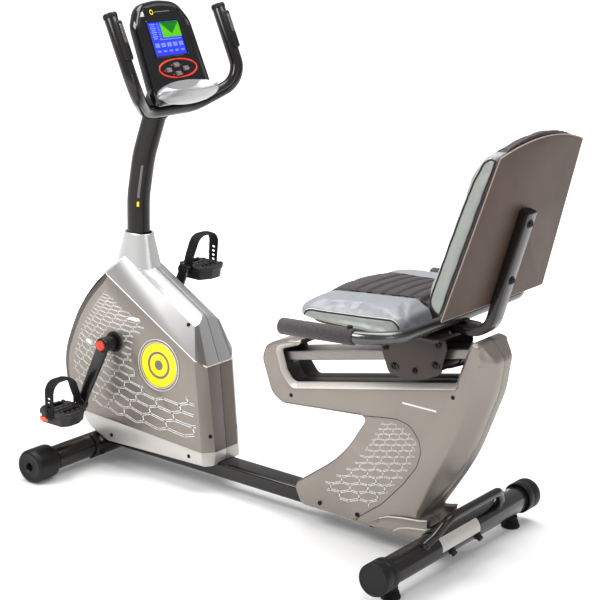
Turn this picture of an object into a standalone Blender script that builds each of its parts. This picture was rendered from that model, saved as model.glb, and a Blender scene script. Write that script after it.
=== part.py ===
"""Recumbent exercise bike: frame, drive, sliding seat and console as separate solids.

Metres, +Z up. The bike's own frame has X = 0 on the rear stabiliser's axis, +X towards the
backrest, Y = 0 on the plane of symmetry (-Y is the rider's left) and Z = 0 on the floor. The
empty "bike_origin" carries every part, so that the model's origin is under the bike's middle.
"""

import math

import bmesh
import bpy
from mathutils import Matrix, Vector

# ---------------------------------------------------------------- driving dimensions
ORIGIN_X = 0.4745            # rear stabiliser axis, ahead of the footprint's middle
GAP = 0.0003                 # between neighbouring pieces
WALL = 0.003                 # moulded shells
STEEL = 0.002                # welded tubes

BEAM_LOW, BEAM_HIGH, BEAM_HALF = 0.035, 0.073, 0.030
FRONT_X, FRONT_Z, FRONT_R, FRONT_HALF = -0.995, 0.040, 0.0285, 0.207
ROLLER_R, ROLLER_LENGTH, ROLLER_BORE = 0.040, 0.078, 0.0095
REAR_Z, REAR_R, REAR_HALF = 0.061, 0.030, 0.316
CAP_R, CAP_IN, CAP_OUT = 0.0355, 0.272, 0.320
FOOT_Y = 0.25

CASING_HALF, CASING_TAIL, CASING_EDGE = 0.070, 0.054, 0.022
SEAM_LOW = ((-1.15, 0.1290), (-0.60, 0.1000))
SEAM_HIGH = ((-1.05, 0.5325), (-0.676, 0.320), (-0.658, 0.303), (-0.55, 0.300))
RIDGE = (-0.831, 0.045, 0.484)          # a point of the ridge along the top cover's edge

CRANK_X, CRANK_Z, CRANK_R = -0.926, 0.316, 0.160
CRANK_ANGLE = math.radians(-108.2)      # of the left arm, from +X towards +Z
ARM_IN, ARM_OUT, ARM_BEND = 0.100, 0.116, 0.018   # the pedal eye lies further out than the boss
PEDAL_Y, PEDAL_LONG, PEDAL_WIDE = 0.190, 0.096, 0.092
PEDAL_LOW, PEDAL_HIGH = -0.028, 0.008
STRAP_WIDE, STRAP_THICK, STRAP_TOP = 0.027, 0.003, 0.080

PULLEY_R, PULLEY_LOW, PULLEY_HIGH = 0.120, 0.024, 0.040
FLY_X, FLY_Z, FLY_R = -0.775, 0.215, 0.098
SMALL_R = 0.020
MAGNET_X, MAGNET_Z = -0.842, 0.309

BAR_R = 0.0155
POST_R = 0.027
FACE_TILT = math.radians(24.0)          # console face, leaning forward
FACE_X, FACE_Z = -0.773, 0.905          # foot of the face on the plane of symmetry
CONSOLE_DEPTH = 0.038

SIDE_HALF, SIDE_EDGE = 0.058, 0.008     # rear casing
FRAME_HALF = 0.020
RAIL_X, RAIL_Z, RAIL_SLOPE = -0.457, 0.385, math.radians(12.43)
RAIL_LENGTH, RAIL_HALF, RAIL_THICK = 0.512, 0.034, 0.0225
CARRIAGE_R = 0.011
PLATE_IN, PLATE_OUT = 0.0510, 0.0550
PLATE_TOP = 0.505

GRIP_Y, TUBE_R, GRIP_R = 0.292, 0.0135, 0.0172
SEAT_Z, SEAT_TOP = 0.5356, 0.580        # the cushion's underside and top
BACK_X, BACK_Z, BACK_TILT = 0.054, 0.589, math.radians(14.4)
BOARD_THICK = 0.011
BACK_THICK = 0.050
BRACKET_HALF, BRACKET_DEPTH = 0.019, 0.022

SIDES = {"left": -1, "right": 1}

# ---------------------------------------------------------------- scene and materials
for old in list(bpy.data.objects):
    bpy.data.objects.remove(old, do_unlink=True)

BIKE = bpy.data.collections.new("recumbent_exercise_bike")
bpy.context.scene.collection.children.link(BIKE)
ORIGIN = bpy.data.objects.new("bike_origin", None)
ORIGIN.location.x = ORIGIN_X
BIKE.objects.link(ORIGIN)


def material(name, colour, roughness, metallic=0.0):
    made = bpy.data.materials.new(name)
    made.use_nodes = True
    shader = made.node_tree.nodes["Principled BSDF"]
    shader.inputs["Base Color"].default_value = (*colour, 1.0)
    shader.inputs["Roughness"].default_value = roughness
    shader.inputs["Metallic"].default_value = metallic
    made.diffuse_color = (*colour, 1.0)
    return made


BLACK_PAINT = material("black_painted_steel", (0.030, 0.026, 0.024), 0.30, 0.2)
TAUPE = material("taupe_plastic", (0.285, 0.262, 0.240), 0.42, 0.5)
SILVER = material("silver_plastic", (0.560, 0.565, 0.565), 0.35, 0.5)
BLACK_PLASTIC = material("black_plastic", (0.020, 0.020, 0.022), 0.45)
RUBBER = material("black_rubber", (0.018, 0.018, 0.018), 0.75)
BARE_STEEL = material("bare_steel", (0.520, 0.520, 0.510), 0.35, 1.0)
RAIL_METAL = material("rail_aluminium", (0.480, 0.470, 0.455), 0.35, 0.9)
PLATE_PAINT = material("dark_grey_paint", (0.120, 0.110, 0.102), 0.40, 0.4)
TUBE_PAINT = material("silver_painted_steel", (0.380, 0.370, 0.360), 0.28, 0.8)
CONSOLE_GREY = material("charcoal_plastic", (0.028, 0.028, 0.036), 0.35)
SCREEN = material("display_lens", (0.050, 0.120, 0.650), 0.10)
VINYL = material("silver_vinyl", (0.420, 0.430, 0.430), 0.40)
BOARD = material("brown_grey_board", (0.150, 0.122, 0.105), 0.55)
FOAM = material("grey_foam", (0.075, 0.072, 0.078), 0.80)
KEY_GREY = material("key_rubber", (0.300, 0.300, 0.310), 0.60)


# ---------------------------------------------------------------- modelling helpers
def link(thing):
    BIKE.objects.link(thing)
    return thing


def mesh_object(bm, name="work"):
    mesh = bpy.data.meshes.new(name)
    bmesh.ops.recalc_face_normals(bm, faces=bm.faces)
    bm.to_mesh(mesh)
    bm.free()
    return link(bpy.data.objects.new(name, mesh))


def rounded(corners, steps=3, closed=True):
    """Corners are (coordinates..., radius); each one becomes an arc of that radius."""
    points = [Vector(corner[:-1]) for corner in corners]
    radii = [corner[-1] for corner in corners]
    made = []
    for index, corner in enumerate(points):
        is_end = not closed and index in (0, len(points) - 1)
        if is_end or radii[index] <= 0:
            made.append(corner)
            continue
        before = points[index - 1] - corner
        after = points[(index + 1) % len(points)] - corner
        angle = before.angle(after)
        if angle > math.radians(178):
            made.append(corner)
            continue
        reach = min(radii[index] / math.tan(angle / 2), 0.49 * before.length, 0.49 * after.length)
        radius = reach * math.tan(angle / 2)
        middle = (before.normalized() + after.normalized()).normalized()
        centre = corner + middle * radius / math.sin(angle / 2)
        start = corner + before.normalized() * reach - centre
        end = corner + after.normalized() * reach - centre
        sweep = start.angle(end)
        for step in range(steps + 1):
            part = step / steps
            weight_start = math.sin((1 - part) * sweep) / math.sin(sweep)
            weight_end = math.sin(part * sweep) / math.sin(sweep)
            made.append(centre + start * weight_start + end * weight_end)
    return made


def circle(x, z, radius, count=32, start=0.0):
    return [Vector((x + radius * math.cos(start + math.tau * n / count),
                    z + radius * math.sin(start + math.tau * n / count))) for n in range(count)]


def inset(points, distance):
    """The outline moved inwards by one distance along every edge."""
    area = sum(a.x * b.y - b.x * a.y for a, b in zip(points, points[1:] + points[:1]))
    turn = 1 if area > 0 else -1
    made = []
    for index, point in enumerate(points):
        before = (point - points[index - 1]).normalized()
        after = (points[(index + 1) % len(points)] - point).normalized()
        inward = (Vector((-before.y, before.x)) + Vector((-after.y, after.x))).normalized() * turn
        spread = max(0.5, inward.dot(Vector((-after.y, after.x)) * turn))
        made.append(point + inward * distance / spread)
    return made


TURNS = {"X": (math.pi / 2, 0, math.pi / 2), "Y": (math.pi / 2, 0, 0), "Z": (0, 0, 0)}
NORMALS = {"X": Vector((1, 0, 0)), "Y": Vector((0, -1, 0)), "Z": Vector((0, 0, 1))}


def prism(points, low, high, axis="Y"):
    """A filled 2D outline drawn out along an axis: XZ points for Y, YZ for X, XY for Z."""
    curve = bpy.data.curves.new("outline", "CURVE")
    curve.dimensions = "2D"
    curve.fill_mode = "BOTH"
    curve.extrude = (high - low) / 2
    spline = curve.splines.new("POLY")
    spline.points.add(len(points) - 1)
    for knot, point in zip(spline.points, points):
        knot.co = (point[0], point[1], 0.0, 1.0)
    spline.use_cyclic_u = True
    drawn = link(bpy.data.objects.new("outline", curve))
    drawn.rotation_euler = TURNS[axis]
    middle = (low + high) / 2
    drawn.location = Vector([abs(part) for part in NORMALS[axis]]) * middle
    return as_mesh(drawn)


def as_mesh(drawn):
    """The evaluated object as a welded mesh with its transform applied."""
    bpy.context.view_layer.update()
    graph = bpy.context.evaluated_depsgraph_get()
    mesh = bpy.data.meshes.new_from_object(drawn.evaluated_get(graph))
    bm = bmesh.new()
    bm.from_mesh(mesh)
    bm.transform(drawn.matrix_world)
    bmesh.ops.remove_doubles(bm, verts=bm.verts, dist=0.00001)
    bmesh.ops.dissolve_limit(bm, angle_limit=math.radians(0.5), verts=bm.verts, edges=bm.edges)
    bpy.data.meshes.remove(mesh)
    bpy.data.objects.remove(drawn, do_unlink=True)
    return mesh_object(bm)


def box(low, high):
    bm = bmesh.new()
    bmesh.ops.create_cube(bm, size=1.0)
    low, high = Vector(low), Vector(high)
    bmesh.ops.scale(bm, vec=high - low, verts=bm.verts)
    bmesh.ops.translate(bm, vec=(low + high) / 2, verts=bm.verts)
    return mesh_object(bm)


def rod(start, end, radius, end_radius=None, segments=20):
    """A round bar or cone between two points."""
    start, end = Vector(start), Vector(end)
    bm = bmesh.new()
    far = radius if end_radius is None else end_radius
    bmesh.ops.create_cone(bm, cap_ends=True, segments=segments, radius1=radius, radius2=far,
                          depth=(end - start).length)
    turn = Vector((0, 0, 1)).rotation_difference(end - start).to_matrix().to_4x4()
    bmesh.ops.transform(bm, matrix=Matrix.Translation((start + end) / 2) @ turn, verts=bm.verts)
    return mesh_object(bm)


def mirrored(half):
    """The corners of a symmetric tube, from those on its right half."""
    return [(x, -y, z, radius) for x, y, z, radius in half] + list(reversed(half))


def sweep(points, radius, sides=3):
    """A round tube through the points, as a curve with filled caps."""
    curve = bpy.data.curves.new("tube", "CURVE")
    curve.dimensions = "3D"
    curve.bevel_depth = radius
    curve.bevel_resolution = sides
    curve.use_fill_caps = True
    spline = curve.splines.new("POLY")
    spline.points.add(len(points) - 1)
    for knot, point in zip(spline.points, points):
        knot.co = (*point, 1.0)
    return link(bpy.data.objects.new("tube", curve))


def tube(points, radius, name, paint, sides=3):
    """A swept tube that is a finished part."""
    made = sweep(points, radius, sides)
    made.name = name
    made.data.name = name
    made.data.materials.append(paint)
    made.parent = ORIGIN
    return made


def combine(body, tool, operation="DIFFERENCE"):
    """Applies one exact Boolean and removes the tool."""
    change = body.modifiers.new("Boolean", "BOOLEAN")
    change.object = tool
    change.operation = operation
    change.solver = "EXACT"
    bpy.context.view_layer.update()
    graph = bpy.context.evaluated_depsgraph_get()
    mesh = bpy.data.meshes.new_from_object(body.evaluated_get(graph))
    body.modifiers.clear()
    body.data = mesh
    bpy.data.objects.remove(tool, do_unlink=True)
    bm = bmesh.new()
    bm.from_mesh(mesh)
    bmesh.ops.remove_doubles(bm, verts=bm.verts, dist=0.00002)
    bmesh.ops.dissolve_limit(bm, angle_limit=math.radians(0.3), verts=bm.verts, edges=bm.edges)
    bm.to_mesh(mesh)
    bm.free()
    return body


def join(body, *tools):
    for tool in tools:
        combine(body, tool, "UNION")
    return body


def cut(body, *tools):
    for tool in tools:
        combine(body, tool, "DIFFERENCE")
    return body


def copy(body):
    made = body.copy()
    made.data = body.data.copy()
    return link(made)


def soften(body, width, segments=2, axis="Y"):
    """Rounds the edges between a prism's sides and its two end faces."""
    bm = bmesh.new()
    bm.from_mesh(body.data)
    along = NORMALS[axis]
    edges = [edge for edge in bm.edges if len(edge.link_faces) == 2 and sorted(
        abs(face.normal.dot(along)) > 0.9 for face in edge.link_faces) == [False, True]]
    bmesh.ops.bevel(bm, geom=edges, offset=width, segments=segments, profile=0.5,
                    affect="EDGES", clamp_overlap=True)
    bm.to_mesh(body.data)
    bm.free()
    return body


def moved(body, matrix):
    body.data.transform(matrix)
    if matrix.determinant() < 0:
        body.data.flip_normals()
    return body


def part(body, name, paint, pivot=(0, 0, 0), smooth=35):
    """Names a finished solid, gives it its material and puts its origin on its pivot."""
    body.name = name
    body.data.name = name
    body.data.materials.clear()
    body.data.materials.append(paint)
    body.data.transform(Matrix.Translation(-Vector(pivot)))
    body.location = pivot
    body.parent = ORIGIN
    body.data.shade_smooth()
    body.data.set_sharp_from_angle(angle=math.radians(smooth))
    return body


def rail_frame(along, above, y=0.0):
    """A point given along the rail from its front end and above its top face."""
    cosine, sine = math.cos(RAIL_SLOPE), math.sin(RAIL_SLOPE)
    return Vector((RAIL_X + along * cosine - above * sine, y, RAIL_Z + along * sine + above * cosine))


def face_frame(across, up, out):
    """A point on the console: across = Y, up the face, and out of it towards the rider."""
    cosine, sine = math.cos(FACE_TILT), math.sin(FACE_TILT)
    return Vector((FACE_X - up * sine + out * cosine, across, FACE_Z + up * cosine + out * sine))


def face_matrix():
    """Carries (up, across, out) prisms, modelled as XY outlines drawn out along Z, to the face."""
    cosine, sine = math.cos(FACE_TILT), math.sin(FACE_TILT)
    return Matrix(((-sine, 0, cosine, FACE_X), (0, 1, 0, 0), (cosine, 0, sine, FACE_Z), (0, 0, 0, 1)))


def back_matrix():
    """Carries (up, across, back) prisms to the rear face of the back board."""
    cosine, sine = math.cos(BACK_TILT), math.sin(BACK_TILT)
    return Matrix(((sine, 0, cosine, BACK_X), (0, 1, 0, 0), (cosine, 0, -sine, BACK_Z), (0, 0, 0, 1)))


# ---------------------------------------------------------------- ground frame
def ground_frame():
    beam = soften(box((FRONT_X + 0.0348, -BEAM_HALF, BEAM_LOW), (-REAR_R - 0.0048, BEAM_HALF, BEAM_HIGH)),
                  0.007, 3, "X")
    inside = BEAM_HALF - STEEL
    bore = soften(box((-1.2, -inside, BEAM_LOW + STEEL), (0.2, inside, BEAM_HIGH - STEEL)), 0.005, 2, "X")
    part(cut(beam, bore), "main_beam", BLACK_PAINT)

    bar = rod((FRONT_X, -FRONT_HALF, FRONT_Z), (FRONT_X, FRONT_HALF, FRONT_Z), FRONT_R, segments=24)
    reach = FRONT_HALF + ROLLER_LENGTH - 0.012
    axle = rod((FRONT_X, -reach, FRONT_Z), (FRONT_X, reach, FRONT_Z), ROLLER_BORE - 0.0010, segments=16)
    inside = FRONT_HALF - 0.004
    bore = rod((FRONT_X, -inside, FRONT_Z), (FRONT_X, inside, FRONT_Z), FRONT_R - STEEL, segments=24)
    vent = rod((FRONT_X, 0, FRONT_Z), (FRONT_X + FRONT_R + 0.01, 0, FRONT_Z), 0.003, segments=8)
    part(cut(join(bar, axle), bore, vent), "front_stabiliser", BLACK_PAINT)
    saddle("front_saddle", FRONT_X, FRONT_Z, FRONT_R, 0.085, 1)

    bar = rod((0, -REAR_HALF, REAR_Z), (0, REAR_HALF, REAR_Z), REAR_R, segments=24)
    bore = rod((0, -REAR_HALF - 0.01, REAR_Z), (0, REAR_HALF + 0.01, REAR_Z), REAR_R - STEEL, segments=24)
    part(cut(bar, bore), "rear_stabiliser", BLACK_PAINT)
    saddle("rear_saddle", 0.0, REAR_Z, REAR_R, 0.090, -1)

    for name, side in SIDES.items():
        cap = cut(rod((0, side * CAP_IN, REAR_Z), (0, side * CAP_OUT, REAR_Z), CAP_R, segments=24),
                  rod((0, side * (CAP_IN - 0.01), REAR_Z), (0, side * (REAR_HALF + GAP), REAR_Z),
                      REAR_R + GAP, segments=24))
        part(cap, "rear_cap_" + name, BLACK_PLASTIC)
        foot(name, side)
        roller(name, side)

    half = [(0.012, 0.150, REAR_Z + 0.029, 0), (0.032, 0.130, 0.112, 0.03), (0.042, 0.100, 0.140, 0.04)]
    path = rounded(mirrored(half), 3, False)
    handle = as_mesh(sweep(path, 0.010, 2))
    bore = rod((0, -0.3, REAR_Z), (0, 0.3, REAR_Z), REAR_R + GAP, segments=24)
    part(cut(handle, bore), "lifting_handle", BLACK_PAINT)


def saddle(name, x, z, radius, half, facing):
    """The curved plate on the beam's end that a stabiliser tube is bolted into."""
    outer = circle(0, 0, radius + 0.0045, 24)
    plate = prism(outer, -half, half)
    plate = cut(plate, rod((0, -half - 0.01, 0), (0, half + 0.01, 0), radius + GAP + 0.0002, segments=24))
    keep = box((0.004, -half - 0.01, -0.1), (0.1, half + 0.01, 0.1))
    if facing < 0:
        moved(keep, Matrix.Scale(-1, 4, (1, 0, 0)))
    plate = combine(plate, keep, "INTERSECT")
    part(moved(plate, Matrix.Translation((x, 0, z))), name, BLACK_PAINT)


def foot(name, side):
    """A rubber levelling foot whose stud screws up into the rear tube."""
    y = side * FOOT_Y
    top = REAR_Z - REAR_R - 0.001
    body = rod((0, y, 0), (0, y, top - 0.002), 0.0215, 0.0135)
    part(body, "levelling_foot_" + name, RUBBER, (0, y, 0))


def roller(name, side):
    """A transport roller, free on the front tube's axle."""
    start = side * (FRONT_HALF + 0.0005)
    end = side * (FRONT_HALF + ROLLER_LENGTH)
    body = rod((FRONT_X, start, FRONT_Z), (FRONT_X, end, FRONT_Z), ROLLER_R, segments=28)
    bm = bmesh.new()
    bm.from_mesh(body.data)
    rims = [edge for edge in bm.edges if abs(edge.verts[0].co.y - edge.verts[1].co.y) < 0.0001]
    bmesh.ops.bevel(bm, geom=rims, offset=0.009, segments=1, affect="EDGES")
    bm.to_mesh(body.data)
    bm.free()
    body = cut(body, rod((FRONT_X, start - side * 0.01, FRONT_Z), (FRONT_X, end + side * 0.01, FRONT_Z),
                         ROLLER_BORE, segments=16))
    part(body, "transport_roller_" + name, BLACK_PLASTIC, (FRONT_X, side * 0.246, FRONT_Z))


# ---------------------------------------------------------------- main casing
def casing_outline():
    return rounded([(-0.862, 0.503, 0.02), (-0.703, 0.412, 0.03), (-0.658, 0.301, 0.05),
                    (-0.630, 0.096, 0.05), (-0.630, 0.069, 0.004), (-0.945, 0.060, 0.01),
                    (-1.000, 0.083, 0.03), (-1.078, 0.145, 0.05), (-1.098, 0.245, 0.12),
                    (-1.036, 0.405, 0.12), (-0.948, 0.503, 0.03)], 3)


def plan_taper(shrink):
    """The casing's shape from above: parallel sides that draw in towards the rear."""
    wide, narrow = CASING_HALF - shrink, CASING_TAIL - shrink
    return prism([(-1.2, -wide), (-0.715, -wide), (-0.620, -narrow), (-0.620, narrow),
                  (-0.715, wide), (-1.2, wide)], 0.0, 0.7, "Z")


def shoulders(body, shrink):
    """Slices both flanks above the joint with the top cover, so that they lean in to its ridges."""
    run = Vector((SEAM_HIGH[1][0] - SEAM_HIGH[0][0], 0, SEAM_HIGH[1][1] - SEAM_HIGH[0][1]))
    for side in SIDES.values():
        start = Vector((SEAM_HIGH[0][0], side * CASING_HALF, SEAM_HIGH[0][1]))
        lean = Vector((RIDGE[0], side * RIDGE[1], RIDGE[2])) - start
        outward = run.cross(lean).normalized() * -side
        bm = bmesh.new()
        bm.from_mesh(body.data)
        sliced = bmesh.ops.bisect_plane(bm, geom=bm.verts[:] + bm.edges[:] + bm.faces[:], dist=0.00001,
                                        plane_co=start - outward * shrink, plane_no=outward, clear_outer=True)
        rim = [item for item in sliced["geom_cut"] if isinstance(item, bmesh.types.BMEdge)]
        bmesh.ops.contextual_create(bm, geom=rim)
        bm.to_mesh(body.data)
        bm.free()
    return body


def main_casing():
    outline = casing_outline()
    body = soften(prism(outline, -CASING_HALF, CASING_HALF), CASING_EDGE, 2)
    body = shoulders(combine(body, plan_taper(0.0), "INTERSECT"), 0.0)
    hollow_half = CASING_HALF - WALL
    hollow = soften(prism(inset(outline, WALL), -hollow_half, hollow_half), CASING_EDGE - WALL / 2, 1)
    shell = cut(body, shoulders(combine(hollow, plan_taper(WALL), "INTERSECT"), WALL))
    shell = cut(shell, box((-1.2, -BEAM_HALF - 0.001, 0.0), (-0.5, BEAM_HALF + 0.001, BEAM_HIGH + 0.001)),
                box((-0.950, -0.034, 0.45), (-0.878, 0.034, 0.55)),
                rod((CRANK_X, -0.1, CRANK_Z), (CRANK_X, 0.1, CRANK_Z), 0.021))

    high = [Vector(point) for point in SEAM_HIGH]
    low = [Vector(point) for point in SEAM_LOW]
    lift = Vector((0, GAP))
    above = [point + lift for point in high] + [Vector((-0.55, 0.70)), Vector((-1.15, 0.70)),
                                                Vector((-1.15, 0.5893))]
    cover = combine(copy(shell), prism(above, -0.1, 0.1), "INTERSECT")
    part(cover, "top_cover", SILVER)

    below = [low[0] - lift, low[1] - lift, Vector((-0.60, 0.0)), Vector((-1.15, 0.0))]
    skirt = combine(copy(shell), prism(below, -0.1, 0.1), "INTERSECT")
    open_floor = box((-0.955, -0.048, 0.0), (-0.634, 0.048, 0.078))
    part(cut(skirt, open_floor), "base_skirt", SILVER)

    between = [low[0], low[1], high[3], high[2], high[1], high[0], Vector((-1.15, 0.589))]
    for name, side in SIDES.items():
        span = (-0.1, -GAP / 2) if side < 0 else (GAP / 2, 0.1)
        half = combine(copy(shell), prism(between, *span), "INTERSECT")
        if side > 0:
            half = cut(half, rod((-1.020, 0.05, 0.165), (-1.020, 0.09, 0.165), 0.0078, segments=16))
            inlet = join(rod((-1.020, 0.052, 0.165), (-1.020, 0.0715, 0.165), 0.0070, segments=16),
                         rod((-1.020, 0.0704, 0.165), (-1.020, 0.0720, 0.165), 0.0100, segments=16))
            inlet = cut(inlet, rod((-1.020, 0.060, 0.165), (-1.020, 0.08, 0.165), 0.0030, segments=12))
            part(inlet, "power_inlet", BLACK_PLASTIC)
        part(half, "casing_" + name, TAUPE)
    bpy.data.objects.remove(shell, do_unlink=True)

    boot = rod((-0.913, 0, 0.5035), (-0.913, 0, 0.578), 0.062, 0.038, 28)
    boot = cut(boot, rod((-0.913, 0, 0.5030), (-0.913, 0, 0.574), 0.058, 0.034, 28))
    moved(boot, Matrix.Scale(0.78, 4, (0, 1, 0)))
    hole = rod((-0.9145, 0, 0.45), (-0.9145, 0, 0.65), POST_R + 0.0020, segments=28)
    part(cut(boot, hole), "post_boot", SILVER)


# ---------------------------------------------------------------- drive train
def drive():
    frame = box((-0.950, -BEAM_HALF, BEAM_HIGH + GAP), (-0.740, 0.050, 0.080))
    frame = join(frame,
                 box((-0.939, -0.020, 0.076), (-0.889, 0.020, 0.546)),
                 rod((CRANK_X, -0.050, CRANK_Z), (CRANK_X, 0.0225, CRANK_Z), 0.0260),
                 box((-0.800, 0.0460, 0.076), (-0.752, 0.0495, 0.236)),
                 box((-0.949, -0.0405, 0.0755), (-0.741, -0.0290, 0.0795)),
                 prism([Vector(p) for p in ((-0.880, 0.076), (-0.745, 0.076), (-0.745, 0.236),
                                            (-0.822, 0.325), (-0.895, 0.330))], -0.0400, -0.0365),
                 rod((MAGNET_X, -0.038, MAGNET_Z), (MAGNET_X, 0.014, MAGNET_Z), 0.0040, segments=16))
    frame = cut(frame, rod((CRANK_X, -0.1, CRANK_Z), (CRANK_X, 0.1, CRANK_Z), 0.0104),
                rod((FLY_X, -0.1, FLY_Z), (FLY_X, 0.1, FLY_Z), 0.0063, segments=16))
    part(frame, "drive_frame", BLACK_PAINT)

    axle = rod((CRANK_X, -ARM_OUT - 0.0045, CRANK_Z), (CRANK_X, ARM_OUT + 0.0045, CRANK_Z), 0.0100)
    part(axle, "crank_axle", BARE_STEEL, (CRANK_X, 0, CRANK_Z))

    wheel = rod((CRANK_X, PULLEY_LOW, CRANK_Z), (CRANK_X, PULLEY_HIGH, CRANK_Z), PULLEY_R, segments=40)
    windows = [rod((x, 0.0, z), (x, 0.1, z), 0.022, segments=10)
               for x, z in circle(CRANK_X, CRANK_Z, 0.068, 6)]
    wheel = cut(wheel, rod((CRANK_X, 0, CRANK_Z), (CRANK_X, 0.1, CRANK_Z), 0.0103), *windows)
    part(wheel, "drive_pulley", BLACK_PLASTIC, (CRANK_X, 0.032, CRANK_Z))

    for name, side in SIDES.items():
        crank_arm(name, side)
        pedal(name, side)

    fly = rod((FLY_X, -0.031, FLY_Z), (FLY_X, 0.007, FLY_Z), FLY_R, segments=40)
    fly = join(fly, rod((FLY_X, 0.002, FLY_Z), (FLY_X, PULLEY_HIGH, FLY_Z), SMALL_R, segments=20))
    fly = cut(fly, rod((FLY_X, -0.1, FLY_Z), (FLY_X, 0.1, FLY_Z), 0.0066, segments=16))
    part(fly, "flywheel", BARE_STEEL, (FLY_X, 0, FLY_Z))
    spindle = rod((FLY_X, -0.0440, FLY_Z), (FLY_X, 0.0535, FLY_Z), 0.0060, segments=16)
    part(spindle, "flywheel_axle", BARE_STEEL)

    outer = prism(belt_outline(0.0034), PULLEY_LOW + 0.001, PULLEY_HIGH - 0.001)
    inner = prism(belt_outline(0.0009), PULLEY_LOW - 0.01, PULLEY_HIGH + 0.01)
    part(cut(outer, inner), "drive_belt", RUBBER)

    low, high = FLY_R + 0.003, FLY_R + 0.011
    spans = [math.radians(60 + 58 * step / 8) for step in range(9)]
    arc = [Vector((FLY_X + high * math.cos(a), FLY_Z + high * math.sin(a))) for a in spans]
    arc += [Vector((FLY_X + low * math.cos(a), FLY_Z + low * math.sin(a))) for a in reversed(spans)]
    magnet = prism(arc, -0.0345, 0.0100)
    magnet = join(magnet, rod((MAGNET_X, -0.0345, MAGNET_Z), (MAGNET_X, 0.0100, MAGNET_Z), 0.0090))
    magnet = join(magnet, box((MAGNET_X + 0.001, -0.0340, MAGNET_Z - 0.003), (-0.815, 0.0095, 0.3165)))
    magnet = cut(magnet, rod((MAGNET_X, -0.05, MAGNET_Z), (MAGNET_X, 0.05, MAGNET_Z), 0.0044, segments=16),
                 rod((FLY_X, -0.05, FLY_Z), (FLY_X, 0.05, FLY_Z), FLY_R + 0.0025, segments=48))
    part(magnet, "magnet_bracket", PLATE_PAINT, (MAGNET_X, 0, MAGNET_Z))


def belt_outline(out):
    """The open loop around both pulleys, a little outside their rims."""
    apart = Vector((FLY_X - CRANK_X, FLY_Z - CRANK_Z))
    lean = math.atan2(apart.y, apart.x)
    wrap = math.acos((PULLEY_R - SMALL_R) / apart.length)

    def arc(x, z, radius, start, turn, steps):
        angles = [start + turn * step / steps for step in range(steps + 1)]
        return [Vector((x + radius * math.cos(a), z + radius * math.sin(a))) for a in angles]

    return (arc(CRANK_X, CRANK_Z, PULLEY_R + out, lean + wrap, math.tau - 2 * wrap, 24)
            + arc(FLY_X, FLY_Z, SMALL_R + out, lean - wrap, 2 * wrap, 8))


def pedal_centre(side):
    turn = CRANK_ANGLE if side < 0 else CRANK_ANGLE + math.pi
    return CRANK_X + CRANK_R * math.cos(turn), CRANK_Z + CRANK_R * math.sin(turn)


def crank_arm(name, side):
    """A forged arm with its boss, its pedal eye and the pedal's spindle."""
    x, z = pedal_centre(side)
    span = sorted((side * ARM_IN, side * ARM_OUT))
    boss = rod((CRANK_X, side * 0.0715, CRANK_Z), (CRANK_X, side * ARM_OUT, CRANK_Z), 0.0175)
    bend = side * ARM_BEND
    eye = rod((x, span[0] + bend, z), (x, span[1] + bend, z), 0.0145)
    along = Vector((x - CRANK_X, z - CRANK_Z)).normalized()
    across = Vector((-along.y, along.x))
    root, tip = Vector((CRANK_X, CRANK_Z)), Vector((x, z))
    web = prism([root + across * 0.0150, tip + across * 0.0115, tip - across * 0.0115,
                 root - across * 0.0150], span[0] + 0.001, span[1] - 0.001)
    for vertex in web.data.vertices:
        if (vertex.co.xz - tip).length < CRANK_R / 2:
            vertex.co.y += bend
    spindle = rod((x, side * (ARM_OUT + ARM_BEND - 0.004), z), (x, side * (PEDAL_Y + 0.040), z), 0.0060,
                  segments=16)
    arm = join(boss, web, eye, spindle)
    arm = cut(arm, rod((CRANK_X, -0.2, CRANK_Z), (CRANK_X, 0.2, CRANK_Z), 0.0103))
    part(arm, "crank_arm_" + name, BLACK_PAINT, (CRANK_X, 0, CRANK_Z))


def pedal(name, side):
    """The tread block, heavier below its spindle so that it hangs level, and its toe strap."""
    x, z = pedal_centre(side)
    y = side * PEDAL_Y
    long, wide = PEDAL_LONG / 2, PEDAL_WIDE / 2
    plan = [(-0.66 * long, -wide, 0.010), (0.66 * long, -wide, 0.010), (long, -0.2 * wide, 0.020),
            (long, 0.5 * wide, 0.020), (0.72 * long, wide, 0.010), (-0.72 * long, wide, 0.010),
            (-long, 0.5 * wide, 0.020), (-long, -0.2 * wide, 0.020)]
    plan = rounded([(x + along, y + side * out, radius) for along, out, radius in plan], 2)
    block = soften(prism(plan, z + PEDAL_LOW, z + PEDAL_HIGH, "Z"), 0.004, 1, "Z")
    for hole in (-0.024, 0.024):
        block = cut(block, box((x + hole - 0.009, y - 0.028, z - 0.05),
                               (x + hole + 0.009, y + 0.028, z + 0.05)))
    block = cut(block, rod((x, y - side * 0.06, z), (x, y + side * 0.042, z), 0.0064, segments=16))
    part(block, "pedal_" + name, BLACK_PLASTIC, (x, y, z))

    half = wide + GAP + STRAP_THICK
    inside, outside = y - side * half, y + side * half
    top = z + STRAP_TOP
    outer = rounded([(inside, z - 0.014, 0), (inside, z + 0.022, 0.03), (y - side * 0.022, top, 0.034),
                     (y + side * 0.050, top, 0.030), (outside, z + 0.022, 0.03), (outside, z - 0.014, 0)], 5)
    inner = inset(outer, STRAP_THICK)
    for end in (0, -1):
        inner[end].y = z - 0.03
    strap = cut(prism(outer, x - STRAP_WIDE / 2, x + STRAP_WIDE / 2, "X"),
                prism(inner, x - STRAP_WIDE, x + STRAP_WIDE, "X"))
    strap = cut(strap, rod((x, side * 0.125, z), (x, side * 0.155, z), 0.0085, segments=12))
    part(strap, "pedal_strap_" + name, RUBBER, (x, y, z))


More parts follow.
